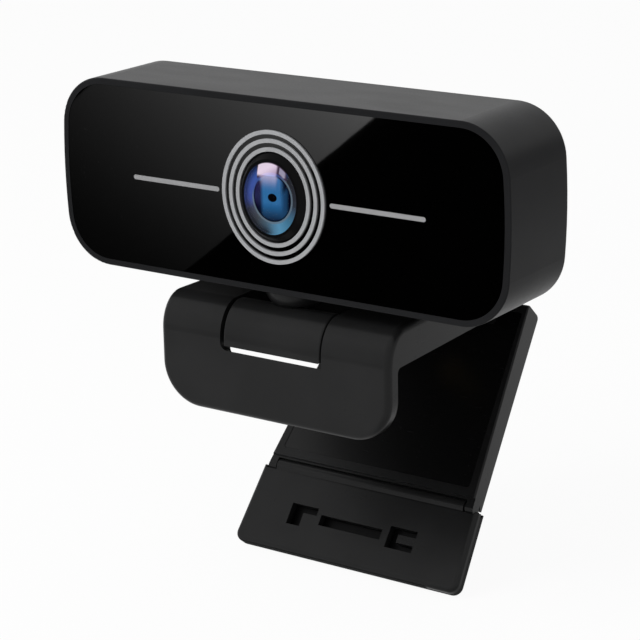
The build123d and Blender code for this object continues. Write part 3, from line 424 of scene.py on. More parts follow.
@dataclass(frozen=True)
class PolishedPlastic:
    """Polished black plastic: a mirror finish with a trace of flow, dust and fine wiping marks."""

    colour: Colour
    roughness: float
    specular: float
    dust: float = 0.02
    dust_colour: Colour = (0.30, 0.30, 0.30)
    flow: float = 9 * MM
    flow_depth: float = 0.004 * MM
    wipes: float = 0.35 * MM

    def make(self, name: str) -> bpy.types.Material:
        """Builds the material.

        Args:
            name: its name.

        Returns:
            The material.
        """
        g = Graph.material(name)
        specks = g.cells(0.9 * MM).step(0.10, 0.04) * g.noise(4 * MM).step(0.5, 0.62)
        flow = g.noise(self.flow, 1.0, 0.4)
        wipes = g.noise(self.wipes, 2.0, 0.6, (9.0, 1.0, 2.0))
        rough = self.roughness + specks * 0.25 + wipes.step(0.5, 0.85) * 0.02
        colour = g.tint(specks * self.dust, self.colour, self.dust_colour)
        return g.surface(
            Base_Color=colour,
            Roughness=rough,
            Specular_IOR_Level=self.specular,
            Normal=g.bump(flow * self.flow_depth),
        )


@dataclass(frozen=True)
class RingMetal:
    """Plated metal with fine lines round the lens axis and soft patches.

    The lines are ovals of the rings' own shape, `squash` times as wide as they are high.
    """

    colour: Colour
    roughness: float
    metallic: float
    squash: float = 0.88
    line: float = 0.09 * MM
    line_depth: float = 0.0009 * MM
    patch: float = 3 * MM

    def make(self, name: str) -> bpy.types.Material:
        """Builds the material.

        Args:
            name: its name.

        Returns:
            The material.
        """
        g = Graph.material(name)
        x, _, z = g.axes()
        up = (z - LENS_Z) * self.squash
        radius = (x * x + up * up).root()
        lines = (radius * (2 * math.pi / self.line)).sine()
        patch = g.noise(self.patch, 2.0, 0.5)
        colour = g.tint(patch, scaled(self.colour, 0.9), scaled(self.colour, 1.06))
        rough = self.roughness + (patch - 0.5) * 0.12 + lines * 0.02
        return g.surface(
            Base_Color=colour,
            Roughness=rough,
            Metallic=self.metallic,
            Normal=g.bump(lines * self.line_depth),
        )


@dataclass(frozen=True)
class BrushedMetal:
    """Metal brushed along one axis, with fine streaks and a slight change from place to place."""

    colour: Colour
    roughness: float
    along: Point
    streak: float
    metallic: float = 1.0
    streak_depth: float = 0.002 * MM
    patch: float = 6 * MM

    def make(self, name: str) -> bpy.types.Material:
        """Builds the material.

        Args:
            name: its name.

        Returns:
            The material.
        """
        g = Graph.material(name)
        streaks = g.noise(self.streak, 3.0, 0.6, self.along)
        patch = g.noise(self.patch, 2.0, 0.5)
        colour = g.tint(streaks, scaled(self.colour, 0.86), scaled(self.colour, 1.08))
        rough = self.roughness + (streaks - 0.5) * 0.16 + (patch - 0.5) * 0.08
        return g.surface(
            Base_Color=colour,
            Roughness=rough,
            Metallic=self.metallic,
            Normal=g.bump(streaks * self.streak_depth),
        )


@dataclass(frozen=True)
class SoftRubber:
    """Matte rubber with a dry, slightly dusty skin."""

    colour: Colour
    roughness: float = 0.78
    specular: float = 0.25
    skin: float = 0.22 * MM
    skin_depth: float = 0.012 * MM
    bloom: float = 7 * MM

    def make(self, name: str) -> bpy.types.Material:
        """Builds the material.

        Args:
            name: its name.

        Returns:
            The material.
        """
        g = Graph.material(name)
        skin = g.noise(self.skin, 3.0, 0.65)
        bloom = g.noise(self.bloom, 3.0, 0.55)
        dusty = tuple(part * 1.7 + 0.008 for part in self.colour)
        return g.surface(
            Base_Color=g.tint(bloom.step(0.45, 0.75) * 0.5, self.colour, dusty),
            Roughness=self.roughness + (skin - 0.5) * 0.14,
            Specular_IOR_Level=self.specular,
            Normal=g.bump(skin * self.skin_depth),
        )


@dataclass(frozen=True)
class CircuitBoard:
    """Solder mask over raised tracks on a square grid, with bare pads where some of them cross.

    Blocks of three by three grid steps draw a number each, which says whether their upright
    tracks, their level ones and their pads are there.
    """

    mask: Colour
    track: Colour
    pad: Colour
    grid: float = 1.27 * MM
    track_depth: float = 0.02 * MM
    track_half: float = 0.12
    pad_half: float = 0.24

    def make(self, name: str) -> bpy.types.Material:
        """Builds the material.

        Args:
            name: its name.

        Returns:
            The material.
        """
        g = Graph.material(name)
        x, _, z = g.axes()
        across, down = (abs((way / self.grid) % 1.0 - 0.5) for way in (x, z))
        block_size = (3 * self.grid, 50 * MM, 3 * self.grid)
        corner = g.node("ShaderNodeVectorMath", {"operation": "SNAP"}, {0: g.place, 1: block_size})
        block = g.node("ShaderNodeTexWhiteNoise", sockets={"Vector": corner})
        upright = (across < self.track_half) * (block > 0.5)
        level = (down < self.track_half) * (block < 0.62)
        tracks = upright.top(level)
        pads = (across < self.pad_half) * (down < self.pad_half) * (block > 0.8)
        colour = g.tint(pads, g.tint(tracks, self.mask, self.track), self.pad)
        return g.surface(
            Base_Color=colour,
            Roughness=0.38 - pads * 0.12,
            Metallic=pads,
            Normal=g.bump(tracks * self.track_depth),
        )


@dataclass(frozen=True)
class CoatedGlass:
    """Clear optical glass with a thin coating: a polished skin, faint dust and a slight tint."""

    colour: Colour
    index: float

    def make(self, name: str) -> bpy.types.Material:
        """Builds the material.

        Args:
            name: its name.

        Returns:
            The material.
        """
        g = Graph.material(name)
        specks = g.cells(0.7 * MM).step(0.08, 0.03) * g.noise(3 * MM).step(0.55, 0.65)
        colour = g.tint(specks * 0.3, self.colour, (0.8, 0.8, 0.8))
        return g.surface(
            Base_Color=colour,
            Roughness=specks * 0.3,
            IOR=self.index,
            Transmission_Weight=1.0,
        )


@dataclass(frozen=True)
class Oval:
    """An upright oval on the lens, in millimetres from the lens axis."""

    x: float
    z: float
    half_width: float
    half_height: float

    def reach(self, x: Sock, z: Sock) -> Sock:
        """How far out from the oval's middle a place is.

        Args:
            x: millimetres to the right of the lens axis.
            z: millimetres over it.

        Returns:
            0 at the middle and 1 on the oval's line.
        """
        across = (x - self.x) / self.half_width
        up = (z - self.z) / self.half_height
        return (across * across + up * up).root()

    def turn(self, x: Sock, z: Sock) -> Sock:
        """How far round the oval the place is, from 0 to 1, anticlockwise from its right."""
        return ((z - self.z).turn(x - self.x) / (2 * math.pi)) % 1.0


@dataclass(frozen=True)
class EyeGlass:
    """Domed front glass with a painted back that glows: painted reflections round a dark iris.

    The back of the glass holds the iris, a thin pale line round it and the coloured reflections of
    the coating outside that line, all painted as emission, so that they glow with no lamp on them:
    painted light. The dome in front is clear, and holds only a painted highlight near its top, a
    softbox's reflection painted as emission. Places on the glass are in millimetres from the lens
    axis, and a mask's steps are its soft edges. `around` goes anticlockwise from the right, `down`
    from the foot up.
    """

    back_y: float
    rim: Oval = Oval(0.0, 0.0, 5.48, 6.38)
    iris: Oval = Oval(-0.06, -0.12, 3.85, 4.12)
    pupil: Oval = Oval(-0.05, -0.02, 0.93, 0.73)
    index: float = 1.05
    black: Colour = (0.0005, 0.0003, 0.001)
    night: Colour = (0.001, 0.001, 0.006)
    around: Stops = (
        (0.00, (0.022, 0.024, 0.032)),
        (0.13, (0.018, 0.019, 0.024)),
        (0.28, (0.030, 0.120, 0.450)),
        (0.40, (0.045, 0.090, 0.340)),
        (0.52, (0.050, 0.080, 0.300)),
        (0.575, (0.048, 0.054, 0.085)),
        (0.64, (0.052, 0.060, 0.072)),
        (0.71, (0.058, 0.105, 0.150)),
        (0.79, (0.085, 0.250, 0.400)),
        (0.86, (0.050, 0.160, 0.260)),
        (0.93, (0.040, 0.075, 0.120)),
        (0.97, (0.024, 0.028, 0.038)),
    )
    down: Stops = (
        (0.00, (0.001, 0.001, 0.006)),
        (0.09, (0.007, 0.024, 0.062)),
        (0.20, (0.012, 0.056, 0.138)),
        (0.31, (0.015, 0.096, 0.240)),
        (0.41, (0.028, 0.140, 0.330)),
        (0.60, (0.026, 0.138, 0.330)),
        (1.00, (0.060, 0.160, 0.380)),
    )

    def outside(self, g: Graph, x: Sock, z: Sock) -> Sock:
        """Colour of the coating's painted reflections outside the iris.

        Args:
            g: the graph.
            x: millimetres to the right of the lens axis.
            z: millimetres over it.

        Returns:
            The colour: `around`, dark violet under the painted highlight block, and near
            black painted shade at the left rim.
        """
        plum, shadow = (0.055, 0.032, 0.060), (0.007, 0.007, 0.012)
        # Dark violet under the painted highlight block, and near black painted shade at the left
        # rim.
        under_block = x.step(-3.25, -3.05) * x.step(3.1, 2.7) * z.step(2.9, 3.2)
        left_rim = x.step(0.5, -1.5) * self.iris.reach(x, z).step(1.1, 1.62)
        shine = g.ramp(self.iris.turn(x, z), self.around)
        return g.tint(left_rim, g.tint(under_block, shine, plum), shadow)

    def inside(self, g: Graph, x: Sock, z: Sock) -> Sock:
        """Colour of the iris, which glows as emission: painted light.

        Args:
            g: the graph.
            x: millimetres to the right of the lens axis.
            z: millimetres over it.

        Returns:
            The colour: blue down the middle, dark violet at the left and navy at the right,
            lighter at its lower part as painted light.
        """
        violet = g.tint(z.step(-2.6, 0.2), (0.001, 0.001, 0.009), (0.016, 0.014, 0.060))
        # Navy lighter at its lower part: painted light.
        lit = x.step(3.4, 2.6) * (z - x).step(-0.4, -1.8)
        navy = g.tint(lit, (0.001, 0.002, 0.009), (0.010, 0.044, 0.110))
        colour = g.ramp((z + 4.4) / 8.6, self.down)
        colour = g.tint(x.step(-1.75, -2.7) * z.step(3.1, 2.4), colour, violet)
        colour = g.tint(x.step(1.2, 2.6), colour, navy)
        outline = self.iris.reach(x, z).step(0.90, 0.99) * (z - 0.5 * x).step(4.0, 2.6)
        colour = g.tint(outline, colour, self.night)
        streak = g.noise(1.1 * MM, 2.0, 0.5, (0.5, 1.0, 2.2))
        colour = g.tint(streak.step(0.45, 0.8) * 0.25, colour, (0.010, 0.050, 0.120))
        return g.tint(self.pupil.reach(x, z).step(1.05, 0.93), colour, self.black)

    def shine(self, g: Graph, x: Sock, z: Sock) -> Sock:
        """Colour of the painted highlight near the dome's top: a block, its fading foot and a
        sliver.

        Args:
            g: the graph.
            x: millimetres to the right of the lens axis.
            z: millimetres over it.

        Returns:
            The colour.
        """
        edge = self.rim.reach(x, z)
        inside = edge.step(0.995, 0.965)
        # Painted highlight: block, foot and sliver stand in for a softbox's reflection on the dome.
        block = x.step(-2.35, -2.1) * x.step(2.0, 1.5) * z.step(3.75, 4.35) * inside
        pink = g.tint((0.6 * x - z).step(-5.8, -3.3), (0.72, 0.61, 0.73), (0.38, 0.29, 0.41))
        foot = x.step(-1.8, -0.9) * x.step(2.3, 1.6) * z.step(1.2, 4.4) ** 2 * z.step(4.3, 3.9)
        sliver = edge.step(0.82, 0.87) * inside * x.step(2.15, 2.35) * x.step(3.6, 3.2) * (z > 4.0)
        colour = g.tint(block, (0.0, 0.0, 0.0), pink)
        colour = g.tint(foot, colour, (0.32, 0.21, 0.19))
        return g.tint(sliver, colour, (0.25, 0.25, 0.33))

    def make(self, name: str) -> bpy.types.Material:
        """Builds the material.

        Args:
            name: its name.

        Returns:
            The material.
        """
        g = Graph.material(name)
        side, depth, height = g.axes()
        x, z = side / MM, (height - LENS_Z) / MM
        reach = self.iris.reach(x, z)
        colour = g.tint(reach.step(1.02, 0.99), self.outside(g, x, z), self.inside(g, x, z))
        line = reach.step(0.99, 1.02) * reach.step(1.11, 1.07)
        pale = g.tint((z - 0.5 * x).step(3.4, 1.4), (0.045, 0.080, 0.260), (0.12, 0.165, 0.21))
        # The back is painted as emission: painted reflections that glow with no lamp on them.
        painted_back = {
            "Base Color": (0.001, 0.001, 0.0015, 1.0),
            "Roughness": 0.3,
            "Specular IOR Level": 0.0,
            "Emission Color": g.tint(line * 0.8, colour, pale),
            "Emission Strength": 1.0,
        }
        # The clear dome's emission is the painted highlight, a softbox's painted reflection.
        clear = {
            "Base Color": (0.97, 0.98, 1.0, 1.0),
            "Roughness": 0.0,
            "IOR": self.index,
            "Transmission Weight": 1.0,
            "Emission Color": self.shine(g, x, z),
            "Emission Strength": 1.0,
        }
        dome, back = (g.node("ShaderNodeBsdfPrincipled", sockets=s) for s in (clear, painted_back))
        mix = {0: depth > self.back_y, 1: dome, 2: back}
        return g.end(g.node("ShaderNodeMixShader", sockets=mix))


@dataclass(frozen=True)
class BlackOptics:
    """Matt black inside the lens, with fine baffle grooves turned round the axis."""

    colour: Colour
    pitch: float = 0.35 * MM
    groove_depth: float = 0.02 * MM
    skin: float = 0.15 * MM
    skin_depth: float = 0.004 * MM

    def make(self, name: str) -> bpy.types.Material:
        """Builds the material.

        Args:
            name: its name.

        Returns:
            The material.
        """
        g = Graph.material(name)
        _, y, _ = g.axes()
        grooves = (y * (2 * math.pi / self.pitch)).sine()
        skin = g.noise(self.skin, 2.0, 0.6)
        return g.surface(
            Base_Color=g.tint(skin, scaled(self.colour, 0.8), scaled(self.colour, 1.25)),
            Roughness=0.6 + (skin - 0.5) * 0.2,
            Specular_IOR_Level=0.3,
            Normal=g.bump(grooves * self.groove_depth + skin * self.skin_depth),
        )


class Finish(Enum):
    """The finishes of the object, by what wears them or what they are made of."""

    SHELL = MouldedPlastic((0.0060, 0.0062, 0.0070), 0.39, 0.118)
    CLIP = MouldedPlastic((0.0104, 0.0105, 0.0107), 0.30, 0.14, depth=0.0018 * MM)
    # The foot cover floors the foot's pockets and is darker than the clip so that they look dark:
    # painted shade in the recesses.
    FOOT_COVER = MouldedPlastic((0.0030, 0.0030, 0.0032), 0.46, 0.09)
    LEG_GLOSS = PolishedPlastic((0.0022, 0.0022, 0.0023), 0.26, 0.26)
    PANEL = PolishedPlastic((0.0003, 0.0003, 0.0003), 0.02, 0.5)
    COLLAR = PolishedPlastic((0.0008, 0.0008, 0.0010), 0.24, 0.07)
    RING = RingMetal((0.36, 0.365, 0.375), 0.34, 0.30)
    TRIM = BrushedMetal((0.31, 0.31, 0.315), 0.36, (30.0, 1.0, 1.0), 0.12 * MM, 0.30)
    EYE = EyeGlass(HEAD_FRONT_Y - 0.95 * MM)
    INNER_GLASS = CoatedGlass((0.62, 0.66, 0.95), 1.46)
    REAR_GLASS = CoatedGlass((0.70, 0.80, 0.95), 1.5)
    FILTER = CoatedGlass((0.45, 0.75, 0.80), 1.5)
    OPTIC = BlackOptics((0.010, 0.010, 0.011))
    INNER_GREY = MouldedPlastic((0.09, 0.09, 0.10), 0.6, 0.3)
    SENSOR = PolishedPlastic((0.05, 0.07, 0.06), 0.1, 0.5, 0.1)
    BOARD = CircuitBoard((0.008, 0.07, 0.025), (0.02, 0.13, 0.05), (0.75, 0.6, 0.3))
    RUBBER = SoftRubber((0.016, 0.016, 0.017))
    CAPSULE = BrushedMetal((0.62, 0.63, 0.63), 0.3, (1.0, 1.0, 1.0), 0.3 * MM)
    STEEL = BrushedMetal((0.55, 0.55, 0.56), 0.3, (8.0, 1.0, 1.0), 0.15 * MM)
    BRASS = BrushedMetal((0.72, 0.53, 0.24), 0.28, (1.0, 1.0, 8.0), 0.2 * MM)


class Wardrobe:
    """Makes each finish once and puts it on the pieces that wear it."""

    def __init__(self, nodes: Mapping[str, bpy.types.Object]) -> None:
        """Keeps the CAD nodes to dress.

        Args:
            nodes: the CAD nodes by name.
        """
        self.nodes = nodes
        self.made: dict[Finish, bpy.types.Material] = {}

    def material(self, finish: Finish) -> bpy.types.Material:
        """The material of a finish, made the first time that it is asked for.

        Args:
            finish: the finish.

        Returns:
            Its material.
        """
        if finish not in self.made:
            self.made[finish] = finish.value.make(finish.name.lower())
        return self.made[finish]

    def dress(self, finish: Finish, *names: str) -> None:
        """Puts a finish on CAD nodes.

        Args:
            finish: the finish.
            names: the nodes' names.
        """
        for name in names:
            node = self.nodes[name]
            if not node.material_slots:
                node.data.materials.append(None)
            for slot in node.material_slots:
                slot.link = "OBJECT"
                slot.material = self.material(finish)
            log.info("node %s wears %s", name, finish.name.lower())


# ------------------------------------------------------------------ shapes


def grid_mesh(name: str, points: np.ndarray, closed: bool = False) -> bpy.types.Mesh:
    """Makes a mesh from a grid of points, one four-sided face for each cell.

    Args:
        name: the mesh's name.
        points: an array of rows by columns by 3.
        closed: whether the last column joins the first.

    Returns:
        The mesh.
    """
    rows, columns, _ = points.shape
    index = np.arange(rows * columns).reshape(rows, columns)
    right = np.roll(index, -1, axis=1)
    last = columns if closed else columns - 1
    faces = np.stack(
        [index[:-1, :last], right[:-1, :last], right[1:, :last], index[1:, :last]], axis=-1
    )
    mesh = bpy.data.meshes.new(name)
    mesh.from_pydata(points.reshape(-1, 3).tolist(), [], faces.reshape(-1, 4).tolist())
    mesh.polygons.foreach_set("use_smooth", np.ones(len(mesh.polygons), bool))
    mesh.update()
    return mesh


def new_object(name: str, data: bpy.types.ID) -> bpy.types.Object:
    """Makes an object and links it to the scene.

    Args:
        name: its name.
        data: its mesh, lamp or camera.

    Returns:
        The object.
    """
    made = bpy.data.objects.new(name, data)
    bpy.context.scene.collection.objects.link(made)
    return made


def round_piece(name: str, points: np.ndarray) -> bpy.types.Object:
    """Makes a piece from a profile carried round an axis.

    Args:
        name: the piece's name.
        points: rows along the profile by columns round the axis by 3.

    Returns:
        The piece, with its poles closed and its faces turned outwards.
    """
    mesh = grid_mesh(name, points, closed=True)
    shape = bmesh.new()
    shape.from_mesh(mesh)
    bmesh.ops.remove_doubles(shape, verts=shape.verts, dist=1e-7)
    bmesh.ops.recalc_face_normals(shape, faces=shape.faces)
    shape.to_mesh(mesh)
    shape.free()
    return new_object(name, mesh)


# ------------------------------------------------------------------ sub-assemblies


class SubAssembly:
    """Nodes and pieces that belong together, with the finish that each CAD node wears."""

    wears: ClassVar[Mapping[Finish, Sequence[str]]]

    def build(self, wardrobe: Wardrobe) -> None:
        """Dresses the CAD nodes."""
        for finish, names in self.wears.items():
            wardrobe.dress(finish, *names)


@dataclass
class Head(SubAssembly):
    """Camera head: shell, glossy face, lens and what is inside."""

    wears = {
        Finish.SHELL: ("head_housing",),
        Finish.PANEL: ("front_panel",),
        Finish.RING: ("lens_ring_outer", "lens_ring_middle", "lens_ring_inner"),
        Finish.TRIM: ("mic_trim_left", "mic_trim_right"),
        Finish.COLLAR: ("lens_collar",),
        Finish.EYE: ("front_lens",),
        Finish.INNER_GLASS: ("inner_lens",),
        Finish.REAR_GLASS: ("rear_lens",),
        Finish.OPTIC: ("lens_barrel", "aperture_stop", "lens_holder"),
        Finish.FILTER: ("ir_filter",),
        Finish.SENSOR: ("image_sensor",),
        Finish.BOARD: ("main_board",),
        Finish.INNER_GREY: ("chassis",),
        Finish.STEEL: ("board_screws", "chassis_screws"),
        Finish.CAPSULE: ("mic_capsules",),
        Finish.RUBBER: ("mic_gaskets", "cable_gland"),
    }


@dataclass
class Neck(SubAssembly):
    """Tilting knuckle with its swivel post and fastenings."""

    wears = {
        Finish.CLIP: ("neck_knuckle",),
        Finish.STEEL: ("swivel_spring", "swivel_washer", "swivel_screw"),
    }


@dataclass
class Clip(SubAssembly):
    """Lip, arm and heel, with their pads, pins and tripod socket."""

    wears = {
        Finish.CLIP: ("clip_arm", "pin_plug"),
        Finish.RUBBER: ("seat_pad", "lip_pad"),
        Finish.STEEL: ("tilt_pin", "leg_pin"),
    }
    insert: str = "tripod_insert"
    crest_radius: float = 2.6 * MM
    root_radius: float = 3.15 * MM
    pitch: float = 1.27 * MM
    flat: float = 0.125
    lead_in: float = 0.6 * MM
    mouth: float = 1.15
    rows: int = 90
    columns: int = 72

    def threaded_insert(self) -> bpy.types.Object:
        """The tripod socket's brass bush, with its thread.

        The profile goes up the bore, out over the top, down the outside and back under. In the
        bore, the distance from the axis swings between crest and root once for each pitch of
        height less one pitch for each turn, so that the groove climbs as a screw. Crest and root
        are flat for a share of the pitch. The thread runs out at the top, and at the mouth it
        opens into a cone that is a little wider than the root.

        Returns:
            The bush.
        """
        low, high = (np.array(corner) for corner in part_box(self.insert))
        centre = (low + high) / 2
        outside = (high[0] - low[0]) / 2
        height = high[2] - low[2]
        circle = np.linspace(0, 2 * np.pi, self.columns, endpoint=False)
        turn, up = np.meshgrid(circle, np.linspace(0, 1, self.rows))
        climb = up * height / self.pitch - turn / (2 * np.pi)
        swing = np.abs(2 * (climb % 1.0) - 1)
        groove = np.clip((1 + 2 * self.flat) * swing - self.flat, 0, 1)
        groove *= np.clip((1 - up) * height / self.pitch, 0, 1)
        cone = np.clip(1 - up * height / self.lead_in, 0, 1)
        depth = self.root_radius - self.crest_radius
        bore = self.crest_radius + depth * np.maximum(groove, self.mouth * cone)
        edges = np.repeat([[height], [0.0]], self.columns, axis=1)
        radius = np.concatenate([bore, np.full_like(edges, outside), bore[:1]])
        level = np.concatenate([up * height, edges, up[:1] * height])
        x = centre[0] + radius * np.cos(circle)
        y = centre[1] + radius * np.sin(circle)
        return round_piece("threaded_insert", np.stack([x, y, low[2] + level], axis=-1))

    def build(self, wardrobe: Wardrobe) -> None:
        """Puts the bush with its thread in the plain one's place and dresses the clip.

        Args:
            wardrobe: where the finishes come from.
        """
        bush = self.threaded_insert()
        bush.data.materials.append(wardrobe.material(Finish.BRASS))
        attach(bush, "clip")
        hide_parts(self.insert)
        log.info("piece %s rides on clip", bush.name)
        super().build(wardrobe)


@dataclass
class Leg(SubAssembly):
    """Folding leg with its glossy inset and the hinged foot."""

    wears = {
        Finish.CLIP: ("leg_frame", "foot_shell"),
        Finish.FOOT_COVER: ("foot_cover",),
        Finish.LEG_GLOSS: ("leg_pad",),
        Finish.STEEL: ("foot_pin",),
    }
    screws: str = "foot_screws"
    foot_lean: float = 38.3
    head_radius: float = 1.25 * MM
    head_height: float = 0.7 * MM
    rim: float = 0.15 * MM
    shank_radius: float = 0.5 * MM
    recess_depth: float = 0.42 * MM
    recess_reach: float = 0.80 * MM
    recess_half_width: float = 0.16 * MM
    recess_slope: float = 0.09 * MM
    face_rows: int = 30
    rim_rows: int = 4
    columns: int = 80

    def screw(self, name: str, side: int, plain: bpy.types.Mesh) -> bpy.types.Object:
        """A small pan-headed screw with a cross recess, where the plain one is.

        The profile goes from the middle of the head's face out to its rounded rim, under the
        head, and down the shank to the middle of its tip. The face sinks inside a cross: along
        an arm it is full depth up to the arm's edges less a slope, and at the rim of the arm
        the depth has fallen to nothing.

        Args:
            name: its name.
            side: -1 for the left screw and 1 for the right one.
            plain: the mesh of both plain screws.

        Returns:
            The screw.
        """
        lean = math.radians(self.foot_lean)
        out = np.array([0.0, math.cos(lean), -math.sin(lean)])
        across = np.array([1.0, 0.0, 0.0])
        along = np.cross(out, across)
        spots = np.empty(len(plain.vertices) * 3)
        plain.vertices.foreach_get("co", spots)
        spots = spots.reshape(-1, 3)
        spots = spots[spots[:, 0] * side > 0]
        reach = spots @ out
        face = spots[reach > reach.max() - 0.01 * MM]
        centre = (face.min(axis=0) + face.max(axis=0)) / 2
        length = reach.max() - reach.min()
        flat = self.head_radius - self.rim
        edge = np.linspace(0, np.pi / 2, self.rim_rows + 1)[1:]
        radii = [np.linspace(0, flat, self.face_rows), flat + self.rim * np.sin(edge)]
        radii += [[self.head_radius, self.shank_radius, self.shank_radius, 0.0]]
        levels = [np.zeros(self.face_rows), self.rim * (np.cos(edge) - 1)]
        levels += [[-self.head_height, -self.head_height, -length, -length]]
        circle = np.linspace(0, 2 * np.pi, self.columns, endpoint=False)
        turn, radius = np.meshgrid(circle, np.concatenate(radii))
        x, y = radius * np.cos(turn), radius * np.sin(turn)
        arms = [
            np.clip((self.recess_half_width - np.abs(b)) / self.recess_slope + 0.5, 0, 1)
            * np.clip((self.recess_reach - np.abs(a)) / (2 * self.recess_slope) + 0.5, 0, 1)
            for a, b in ((x, y), (y, x))
        ]
        level = np.repeat(np.concatenate(levels)[:, None], self.columns, axis=1)
        level[: self.face_rows] -= self.recess_depth * np.maximum(*arms)[: self.face_rows]
        points = centre + x[..., None] * across + y[..., None] * along + level[..., None] * out
        return round_piece(name, points)

    def build(self, wardrobe: Wardrobe) -> None:
        """Puts the screws with their recesses in the plain ones' place and dresses the leg.

        Args:
            wardrobe: where the finishes come from.
        """
        plain = wardrobe.nodes[self.screws].data
        for name, side in (("foot_screw_left", -1), ("foot_screw_right", 1)):
            screw = self.screw(name, side, plain)
            screw.data.materials.append(wardrobe.material(Finish.STEEL))
            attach(screw, "foot")
            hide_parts(self.screws)
            log.info("piece %s rides on foot", name)
        super().build(wardrobe)


# ------------------------------------------------------------------ studio


@dataclass
class Camera:
    """The camera, aimed at a point from an azimuth and an elevation, with a slight roll."""

    aim: Point = (5.836 * MM, -19.394 * MM, 5.995 * MM)
    azimuth: float = 34.437
    elevation: float = 17.031
    roll: float = -1.020
    distance: float = 0.39364
    lens: float = 126.70

    def axes(self) -> tuple[Vector, Vector, Vector]:
        """The camera's directions.

        Returns:
            Right, up and backward.
        """
        a, e, r = (math.radians(v) for v in (self.azimuth, self.elevation, self.roll))
        back = Vector((math.sin(a) * math.cos(e), -math.cos(a) * math.cos(e), math.sin(e)))
        right = (-back).cross(Vector((0, 0, 1))).normalized()
        up = right.cross(-back)
        turned_right = right * math.cos(r) + up * math.sin(r)
        turned_up = up * math.cos(r) - right * math.sin(r)
        return turned_right, turned_up, back

    def place(self) -> Vector:
        """Where the camera stands."""
        return Vector(self.aim) + self.axes()[2] * self.distance

    def build(self) -> None:
        """Makes the camera and sets it as the scene's."""
        data = bpy.data.cameras.new("studio_camera")
        data.lens, data.sensor_width = self.lens, 36.0
        data.clip_start, data.clip_end = 0.01, 20.0
        camera = new_object("studio_camera", data)
        right, up, back = self.axes()
        turn = Matrix((right, up, back)).transposed().to_4x4()
        camera.matrix_world = Matrix.Translation(self.place()) @ turn
        bpy.context.scene.camera = camera


@dataclass
class Studio:
    """Pale floor, even world light and one soft lamp."""

    ground: float
    floor_gap: float = 0.2 * MM
    floor_half: float = 3.0
    floor_white: float = 0.94
    floor_paint: Colour = (0.9, 0.9, 0.9)
    world_fill: float = 0.48
    lamp_place: Point = (-0.35, -0.55, 0.45)
    lamp_side: float = 0.4
    lamp_watts: float = 4.0

    def build(self) -> None:
        """Makes the floor, the world and the lamp."""
        self.floor()
        self.world()
        self.lamp()

    @staticmethod
    def seen(g: Graph) -> Sock:
        """A mask by the kind of ray.

        Args:
            g: the graph.

        Returns:
            1 to the camera, to gloss and through glass, and 0 to other rays.
        """
        kinds = ("Is Camera Ray", "Is Glossy Ray", "Is Transmission Ray")
        camera, gloss, through = (g.node("ShaderNodeLightPath", output=kind) for kind in kinds)
        return camera.top(gloss).top(through)

    def floor(self) -> None:
        """A pale floor just below the object, which looks white and keeps a soft shadow."""
        side = np.linspace(-self.floor_half, self.floor_half, 3)
        x, y = np.meshgrid(side, side)
        points = np.stack([x, y, np.full_like(x, self.ground - self.floor_gap)], axis=-1)
        floor = new_object("studio_floor", grid_mesh("studio_floor", points))
        g = Graph.material("pale_floor")
        paint = g.node("ShaderNodeBsdfDiffuse", sockets={"Color": (*self.floor_paint, 1.0)})
        white = g.node("ShaderNodeEmission", sockets={"Color": WHITE, "Strength": 1.0})
        mix = {0: self.seen(g) * self.floor_white, 1: paint, 2: white}
        floor.data.materials.append(g.end(g.node("ShaderNodeMixShader", sockets=mix)))
        floor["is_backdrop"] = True

    def world(self) -> None:
        """A plain world: white to the camera, to gloss and through glass, dimmer as light."""
        world = bpy.data.worlds.new("studio_world")
        bpy.context.scene.world = world
        g = Graph(world)
        strength = self.world_fill + self.seen(g) * (1.0 - self.world_fill)
        shade = g.node("ShaderNodeBackground", sockets={"Color": WHITE, "Strength": strength})
        g.end(shade, "ShaderNodeOutputWorld")

    def lamp(self) -> None:
        """A square soft lamp at the upper left in front, aimed at the origin, not seen in gloss."""
        data = bpy.data.lights.new("top_softbox", "AREA")
        data.shape, data.size, data.size_y = "RECTANGLE", self.lamp_side, self.lamp_side
        data.energy = self.lamp_watts
        lamp = new_object("top_softbox", data)
        lamp.location = self.lamp_place
        lamp.rotation_euler = (-Vector(self.lamp_place)).to_track_quat("-Z", "Y").to_euler()
        lamp.visible_glossy = False


